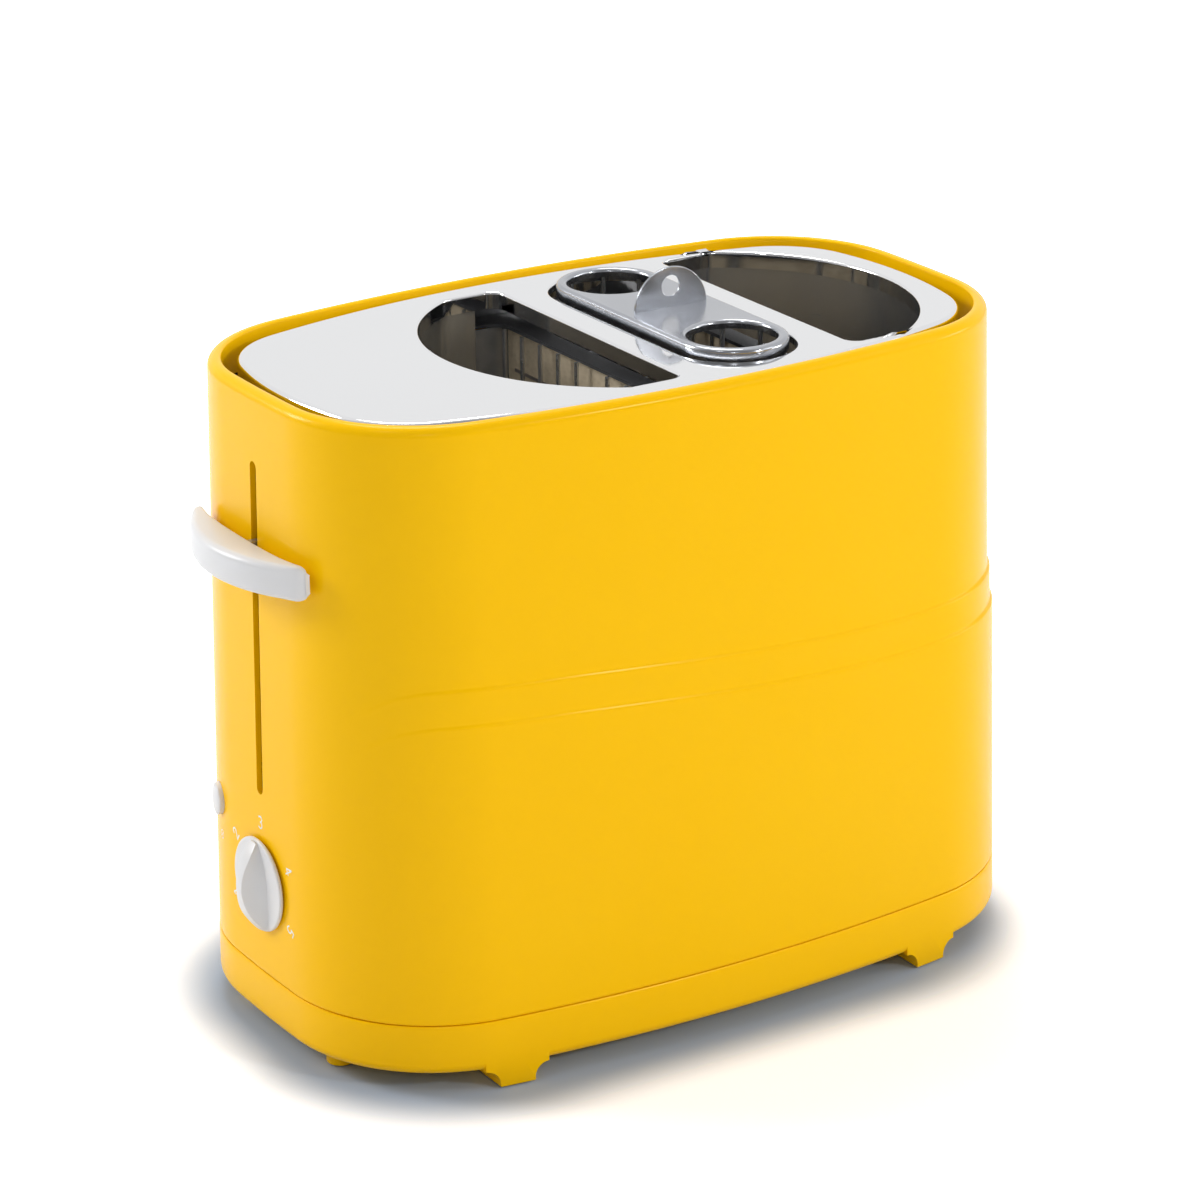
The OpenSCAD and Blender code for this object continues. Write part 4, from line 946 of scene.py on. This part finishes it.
class Plan(Nodes):
    """A Geometry Nodes tree with named inputs for its sizes, and the modifier that runs it."""

    def __init__(self, name, **sizes):
        super().__init__(bpy.data.node_groups.new(name + "_tree", "GeometryNodeTree"))
        self.name, self.inputs = name, {}
        self.socket("Geometry", "INPUT", "Geometry")
        for label, value in sizes.items():
            kind = "Int" if isinstance(value, int) else "Float"
            self.inputs[self.socket(label, "INPUT", kind).identifier] = value
        self.socket("Geometry", "OUTPUT", "Geometry")
        self.start = self.tree.nodes.new("NodeGroupInput").outputs
        self.end = self.tree.nodes.new("NodeGroupOutput").inputs[0]

    def socket(self, label, way, kind):
        return self.tree.interface.new_socket(label, in_out=way, socket_type="NodeSocket" + kind)

    def given(self, label="Geometry"):
        return Wire(self, self.start[label])

    def run(self, verts, edges, geometry, material):
        """Ends the tree, runs it on points and edges, and keeps the result as a plain mesh."""
        real = self.node("GeometryNodeRealizeInstances", {0: geometry})
        done = self.node("GeometryNodeSetMaterial", {"Geometry": real, "Material": MATERIAL[material]})
        self.put(self.end, done)
        ob = placed(self.name, raw_mesh(self.name, verts, edges))
        mod = ob.modifiers.new("plan", "NODES")
        mod.node_group = self.tree
        for key, value in self.inputs.items():
            mod[key] = value
        return apply_modifiers(ob)


def wires(name, lines, radius, material, sides=12):
    """Round wires along lists of points, in millimetres."""
    verts, edges = [], []
    for line in lines:
        base = len(verts)
        verts += line
        edges += [(base + i, base + i + 1) for i in range(len(line) - 1)]
    p = Plan(name, wire_radius=radius * MM, wire_sides=sides)
    curve = p.node("GeometryNodeMeshToCurve", {"Mesh": p.given()})
    section = p.node("GeometryNodeCurvePrimitiveCircle",
                     {"Resolution": p.given("wire_sides"), "Radius": p.given("wire_radius")})
    tube = p.node("GeometryNodeCurveToMesh", {"Curve": curve, "Profile Curve": section, "Fill Caps": True})
    return tidy(p.run(verts, edges, p.node("GeometryNodeSetShadeSmooth", {0: tube}), material), 50.0)


def make_guard_wires():
    """Upright wires that keep the buns off the heater boards, on both faces of each board."""
    lines = []
    for board, face in CORNERS:
        x = BAY + board * GUARD_X + face * GUARD_OFF
        for s in (-1, 1):
            for i in range(5):
                y = s * (10 + i * (BUN_HALF - 12) / 4)
                lines.append([(x, y, GUARD_LOW), (x, y, GUARD_HIGH)])
    ob = wires("guard_wires", lines, 0.8, "wire")
    finish_piece(ob, "body", "steel", "guard_wires", material="wire")


def make_cage_wires():
    """Eight upright wires round each hot dog hole, tied by two flat hoops."""
    wire_r, n = 0.9, 8
    mid = DOG_R + SHEET + wire_r + 0.1
    # hoop: a flat strip just outside the wires, with its edges eased
    a, b = mid + 0.92, mid + 1.82
    strip = [(a, -0.8), (a + 0.2, -1), (b - 0.2, -1), (b, -0.8), (b, 0.8), (b - 0.2, 1), (a + 0.2, 1),
             (a, 0.8), (a, -0.8)]
    lines, hoops = [], []
    for y0 in (-MID_HALF, MID_HALF):
        for i in range(n):
            turn = 2 * math.pi * (i + 0.5) / n
            x, y = BAY + mid * math.cos(turn), y0 + mid * math.sin(turn)
            lines.append([(x, y, CAGE_LOW), (x, y, CAGE_Z - SHEET)])
        for k in (1, 2):
            hoops.append(lathe("hoop", strip, (0, 0, 1), (BAY, y0, CAGE_LOW + k * (CAGE_Z - CAGE_LOW) / 3)))
    ob = joined("cage_wires", [wires("cage_uprights", lines, wire_r, "wire")] + hoops, sharp=50.0)
    finish_piece(ob, "cage", "steel", "cage_wires", "cage_hoops", material="wire")


def make_spring():
    """Lift spring round the guide rod, one helix."""
    r, wire_r, low, high, turns, n = 6.2, 0.6, 20.3, 126.2, 14, 24
    line = []
    for i in range(n * turns + 1):
        a = 2 * math.pi * i / n
        z = low + wire_r + (high - low - 2 * wire_r) * i / n / turns
        line.append((ROD_X + r * math.cos(a), r * math.sin(a), z))
    ob = wires("lift_spring", [line], wire_r, "wire", 10)
    finish_piece(ob, "body", "steel", "lift_spring", material="wire")
    ROD_X * MM
    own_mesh(ob)


def make_screws():
    """Screws up into the housing posts: one screw, repeated by Geometry Nodes."""
    root, crest, low, high, pitch = 1.2, 1.45, 10.2, 42.0, 0.8
    profile = [(0, 8.6), (1.0, 8.6), (1.2, 8.0), (3.0, 8.15), (3.2, 8.6), (3.2, 9.4), (crest, low)]
    z = low
    while z < high:
        profile += [(crest, z), (root, z + pitch / 2)]
        z += pitch
    one = lathe("screw", profile + [(root, high), (0, high + root)], (0, 0, 1), (0, 0, 0), 24)
    p = Plan("base_screws", most_turn=3.0)
    info = p.node("GeometryNodeObjectInfo", {"Object": one, "As Instance": True}, out="Geometry")
    most = p.node("ShaderNodeCombineXYZ", {"Z": p.given("most_turn")})
    turn = p.node("FunctionNodeRandomValue", {0: (0, 0, 0), 1: most, "Seed": 4}, data_type="FLOAT_VECTOR")
    many = p.node("GeometryNodeInstanceOnPoints", {"Points": p.given(), "Instance": info, "Rotation": turn})
    ob = p.run([(x, y, 0) for x, y in SCREW_PLACES], [], many, "zinc_steel")
    bpy.data.objects.remove(one)
    tidy(ob, 35.0)
    finish_piece(ob, "body", "zinc_steel", "base_screws")


# ---------------- printed scale

# Strokes of the figures, in parts of their height.
STROKES = {
    "1": [[(-0.22, 0.28), (0.05, 0.5), (0.05, -0.5)]],
    "2": [[(-0.28, 0.24), (-0.2, 0.42), (0.0, 0.5), (0.2, 0.42), (0.28, 0.24), (0.2, 0.04), (-0.3, -0.48),
           (0.3, -0.48)]],
    "3": [[(-0.3, 0.42), (-0.05, 0.5), (0.17, 0.44), (0.26, 0.26), (0.14, 0.08), (0.0, 0.03)],
          [(0.0, 0.03), (0.2, -0.04), (0.3, -0.24), (0.17, -0.44), (-0.07, -0.5), (-0.32, -0.42)]],
    "4": [[(0.14, -0.5), (0.14, 0.5), (-0.3, -0.2), (0.32, -0.2)]],
    "5": [[(0.24, 0.48), (-0.2, 0.48), (-0.25, 0.04), (-0.06, 0.13), (0.15, 0.1), (0.28, -0.1), (0.24, -0.34),
           (0.02, -0.49), (-0.27, -0.36)]],
}


def wall_x(y, z):
    """Outer wall of the lever end at sideways place y and height z."""
    (cx, cy), corner, _, _ = arcs(BODY)[3]
    (ex, _), end, _, last = arcs(BODY)[4]
    corner, end, a = corner + lean(z), end + lean(z), abs(y)
    if a <= end * math.sin(math.radians(last - 180)):
        return ex - math.sqrt(end ** 2 - a * a) + BODY_X
    return cx - math.sqrt(max(corner ** 2 - (a - cy) ** 2, 0.0)) + BODY_X


def ink(name, shapes, half_width):
    """Flat printed strokes laid on the lever end's wall. A shape is a list of (y, z) points."""
    verts, faces = [], []
    for line in shapes:
        last = len(line) - 1
        base = len(verts)
        for i, (y, z) in enumerate(line):
            a, b = line[max(i - 1, 0)], line[min(i + 1, last)]
            m = math.dist(a, b)
            dy, dz = (b[0] - a[0]) / m * half_width, (b[1] - a[1]) / m * half_width
            # a stroke's ends reach half its width further
            s = {0: -1, last: 1}.get(i, 0)
            y, z = y + s * dy, z + s * dz
            for py, pz in ((y - dz, z + dy), (y + dz, z - dy)):
                verts.append((wall_x(py, pz) - 0.04, py, pz))
        faces += [(base + 2 * i, base + 2 * i + 1, base + 2 * i + 3, base + 2 * i + 2) for i in range(last)]
    me = raw_mesh(name, verts, faces=faces)
    if me.polygons[0].normal.x > 0:
        me.flip_normals()
    return finish_piece(placed(name, me), "body", "white_plastic", material="figures")


def subdivide_line(line, step):
    """Line with more points, no further apart than about a step."""
    out = [line[0]]
    for a, b in zip(line, line[1:]):
        n = max(1, int(math.dist(a, b) / step))
        out += [(a[0] + (b[0] - a[0]) * i / n, a[1] + (b[1] - a[1]) * i / n) for i in range(1, n + 1)]
    return out


def make_scale():
    """Figures 1 to 5 round the dial, and a plain stop mark under the button."""
    r, size, width = 22.2, 4.4, 0.82
    shapes = []
    for figure, angle in (("1", -118.0), ("2", -59.0), ("3", 0.0), ("4", 59.0), ("5", 118.0)):
        sa, ca = math.sin(math.radians(angle)), math.cos(math.radians(angle))
        for stroke in STROKES[figure]:
            line = []
            for u, v in subdivide_line(stroke, 0.12):
                right, up = u * size * width, r + v * size
                # seen from the lever end, +Y is to the left
                line.append((-(up * sa + right * ca), DIAL_Z + up * ca - right * sa))
            shapes.append(line)
    ink("scale_figures", shapes, 0.28)
    y, z, r = 32.0, 64.5, 1.5
    slant = 1.06
    ink("stop_mark", [bend(y, z, r, 0, 360, 24), [(y + slant, z - slant), (y - slant, z + slant)]], 0.14)


# ---------------- make everything

make_housing()
make_base()
make_top_plate()
make_bun_liner(-1, "bun_liner_left")
make_bun_liner(1, "bun_liner_right")
make_cage_top()
make_knob()
make_dial()
make_button()
make_guard_wires()
make_cage_wires()
make_spring()
make_screws()
make_scale()

# CAD nodes that keep their own shape, by the finish that they take.
KEPT = dict(
    zinc_steel=["end_frame_left", "end_frame_right", "side_shield_front", "side_shield_back",
                "board_rails", "magnet_core", "chassis_screws", "carriage", "lift_arm", "lever_arm",
                "armature", "crumb_tray"],
    # top_frame takes the black plastic as painted shade: a dark sheet that darkens the gap between the rim
    # and the plate
    black_plastic=["top_frame", "potentiometer", "cancel_switch", "power_contacts", "switch_plunger"],
    black_rubber=["foot_pads", "cord_bush"],
    mica=["heater_board_left", "heater_board_right"],
    heater_alloy=["heater_wire_left", "heater_wire_right"],
    steel=["bun_lifter_left", "bun_lifter_right", "cage_bottom"],
    wire=["guide_rod", "dial_shaft"],
    coil_copper=["magnet_coil"], board_green=["circuit_board"],
    white_plastic=["carriage_bush"], yellow_plastic=["tray_front"])
for material, nodes in KEPT.items():
    for node in nodes:
        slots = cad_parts[node].data.materials
        slots.clear()
        slots.append(MATERIAL[material])


# ---------------- floor, light and camera

# Half size of the floor, half sizes of the block that the painted shadow is measured from, and where both
# fade.
SWEEP_HALF = 5000.0
SHADE_X, SHADE_Y = 70.0, 20.0
SHADE_EDGE, SWEEP_EDGE = (63.0, 92.0), (150.0, 600.0)


def make_floor():
    """White sweep with a painted shadow at the toaster's foot: a darker, bluish colour and no glow close to
    it.
    """
    verts = [(SWEEP_HALF * i, SWEEP_HALF * j, 0.0) for j in (-1, 0, 1) for i in (-1, 0, 1)]
    floor = placed("floor", raw_mesh("floor", verts, faces=grid_faces(3, 3, around=False)))
    f = Finish("white_floor")
    x, y, _ = f.axes()
    # distance in millimetres from a block inside the foot
    over_x = (x.power(2.0).power(0.5) - SHADE_X).most(0.0)
    over_y = (y.power(2.0).power(0.5) - SHADE_Y).most(0.0)
    away = (over_x * over_x + over_y * over_y).power(0.5)
    painted_shadow_fade, far = away.ramp(*SHADE_EDGE), away.ramp(*SWEEP_EDGE)
    # painted shadow: the floor's own colour is darker and bluish close to the foot, which also takes out the
    # yellow bounce there
    tint = f.mix(painted_shadow_fade, (0.42, 0.49, 0.60), (0.92, 0.93, 0.95))
    lit = f.node("BsdfDiffuse", {"Color": tint})
    # the camera sees a white sweep; mirrored rays see it dimmer, as a room would be. The glow is nought at
    # the foot and grows outwards, which paints the edge of the shadow.
    glow_and_painted_shadow = (painted_shadow_fade * 0.42 + far * 0.4) * (f.ray("Camera") + f.mirrored() * 0.25)
    white = f.node("Emission", {"Color": (1.0, 1.0, 1.0), "Strength": glow_and_painted_shadow})
    floor.data.materials.append(f.close(f.node("AddShader", {0: lit, 1: white})))


# Strengths of the even light and of the dim studio, and the way from the toaster to the camera's side.
WORLD = 0.40
STUDIO = 0.35
CAMERA_SIDE = (-0.53, -0.85, 0.0)
# Soft boxes: name, place and size in metres, and power. All look at one point.
LIT_POINT = (0.0, 0.0, 0.12)
BOXES = [
    ("key", (0.75, -1.65, 0.95), (0.16, 0.16), 8.5),
    ("lens", (-0.8, -1.5, 0.98), (0.1, 0.1), 1.6),
    ("strip", (1.8, -0.85, 0.42), (0.8, 0.1), 7.0),
    ("corner", (-1.0, -0.45, 1.7), (0.12, 0.12), 1.5),
    ("side", (-1.15, 1.1, 0.95), (0.5, 0.6), 14.5),
    ("fill", (1.3, -1.1, 1.1), (0.7, 0.7), 2.5),
    ("top", (0.25, 0.75, 1.8), (0.8, 0.6), 14.0)]


def make_world():
    """Even light. Mirrored rays see white behind the toaster and a dimmer studio on the camera's side."""
    world = bpy.data.worlds.new("studio")
    bpy.context.scene.world = world
    f = Finish("studio", world)
    aim = f.node("TexCoord", out="Generated")
    towards = f.node("VectorMath", {0: aim, 1: CAMERA_SIDE}, out="Value", operation="DOT_PRODUCT")
    studio = f.node("MapRange", {0: towards, 1: -0.1, 2: 0.45, 3: 1.0, 4: STUDIO})
    even, dim, plain = [f.node("Background", {0: (1.0, 1.0, 1.0), 1: strength})
                        for strength in (WORLD, studio, 1.0)]
    first = f.node("MixShader", {0: f.mirrored(), 1: even, 2: dim})
    f.close(f.node("MixShader", {0: f.ray("Camera"), 1: first, 2: plain}))


def soft_box(name, place, size, power):
    """Rectangular lamp that looks at the middle of the toaster."""
    data = bpy.data.lights.new(name, "AREA")
    data.shape, data.size, data.size_y, data.energy = "RECTANGLE", size[0], size[1], power
    ob = placed(name, data)
    ob.location = place
    ob.rotation_euler = (Vector(LIT_POINT) - Vector(place)).to_track_quat("-Z", "Y").to_euler()


# The photograph's camera: azimuth, height and roll in degrees, aim and distance in metres, sensor in
# millimetres, and its focal length and optical centre in pixels of a square frame.
VIEW = (-31.897, 20.003, -0.654)
AIM_Z, DISTANCE, SENSOR = 0.14652, 1.44726, 36.0
FRAME_PX, FOCAL_PX, CENTRE_PX = 1200.0, 4154.34, (606.57, 560.85)


def make_camera():
    """The photograph's own view: a square frame and a long lens, a little off centre."""
    az, el, roll = (math.radians(a) for a in VIEW)
    back = Vector((math.sin(az) * math.cos(el), -math.cos(az) * math.cos(el), math.sin(el)))
    level = Vector((math.cos(az), math.sin(az), 0.0))
    upright = back.cross(level)
    right = level * math.cos(roll) + upright * math.sin(roll)
    up = upright * math.cos(roll) - level * math.sin(roll)
    place = Vector((BODY_X * MM, 0.0, AIM_Z)) + back * DISTANCE
    data = bpy.data.cameras.new("camera")
    data.sensor_fit, data.sensor_width = "HORIZONTAL", SENSOR
    data.lens = FOCAL_PX * SENSOR / FRAME_PX
    data.shift_x = -(CENTRE_PX[0] - FRAME_PX / 2) / FRAME_PX
    data.shift_y = (CENTRE_PX[1] - FRAME_PX / 2) / FRAME_PX
    data.clip_start, data.clip_end = 0.05, 30.0
    cam = placed("camera", data)
    rows = [(right[i], up[i], back[i], place[i]) for i in range(3)]
    cam.matrix_world = Matrix(rows + [(0.0, 0.0, 0.0, 1.0)])
    bpy.context.scene.camera = cam


make_floor()
make_world()
make_camera()
for box in BOXES:
    soft_box(*box)

bpy.context.scene.view_settings.view_transform = "Standard"
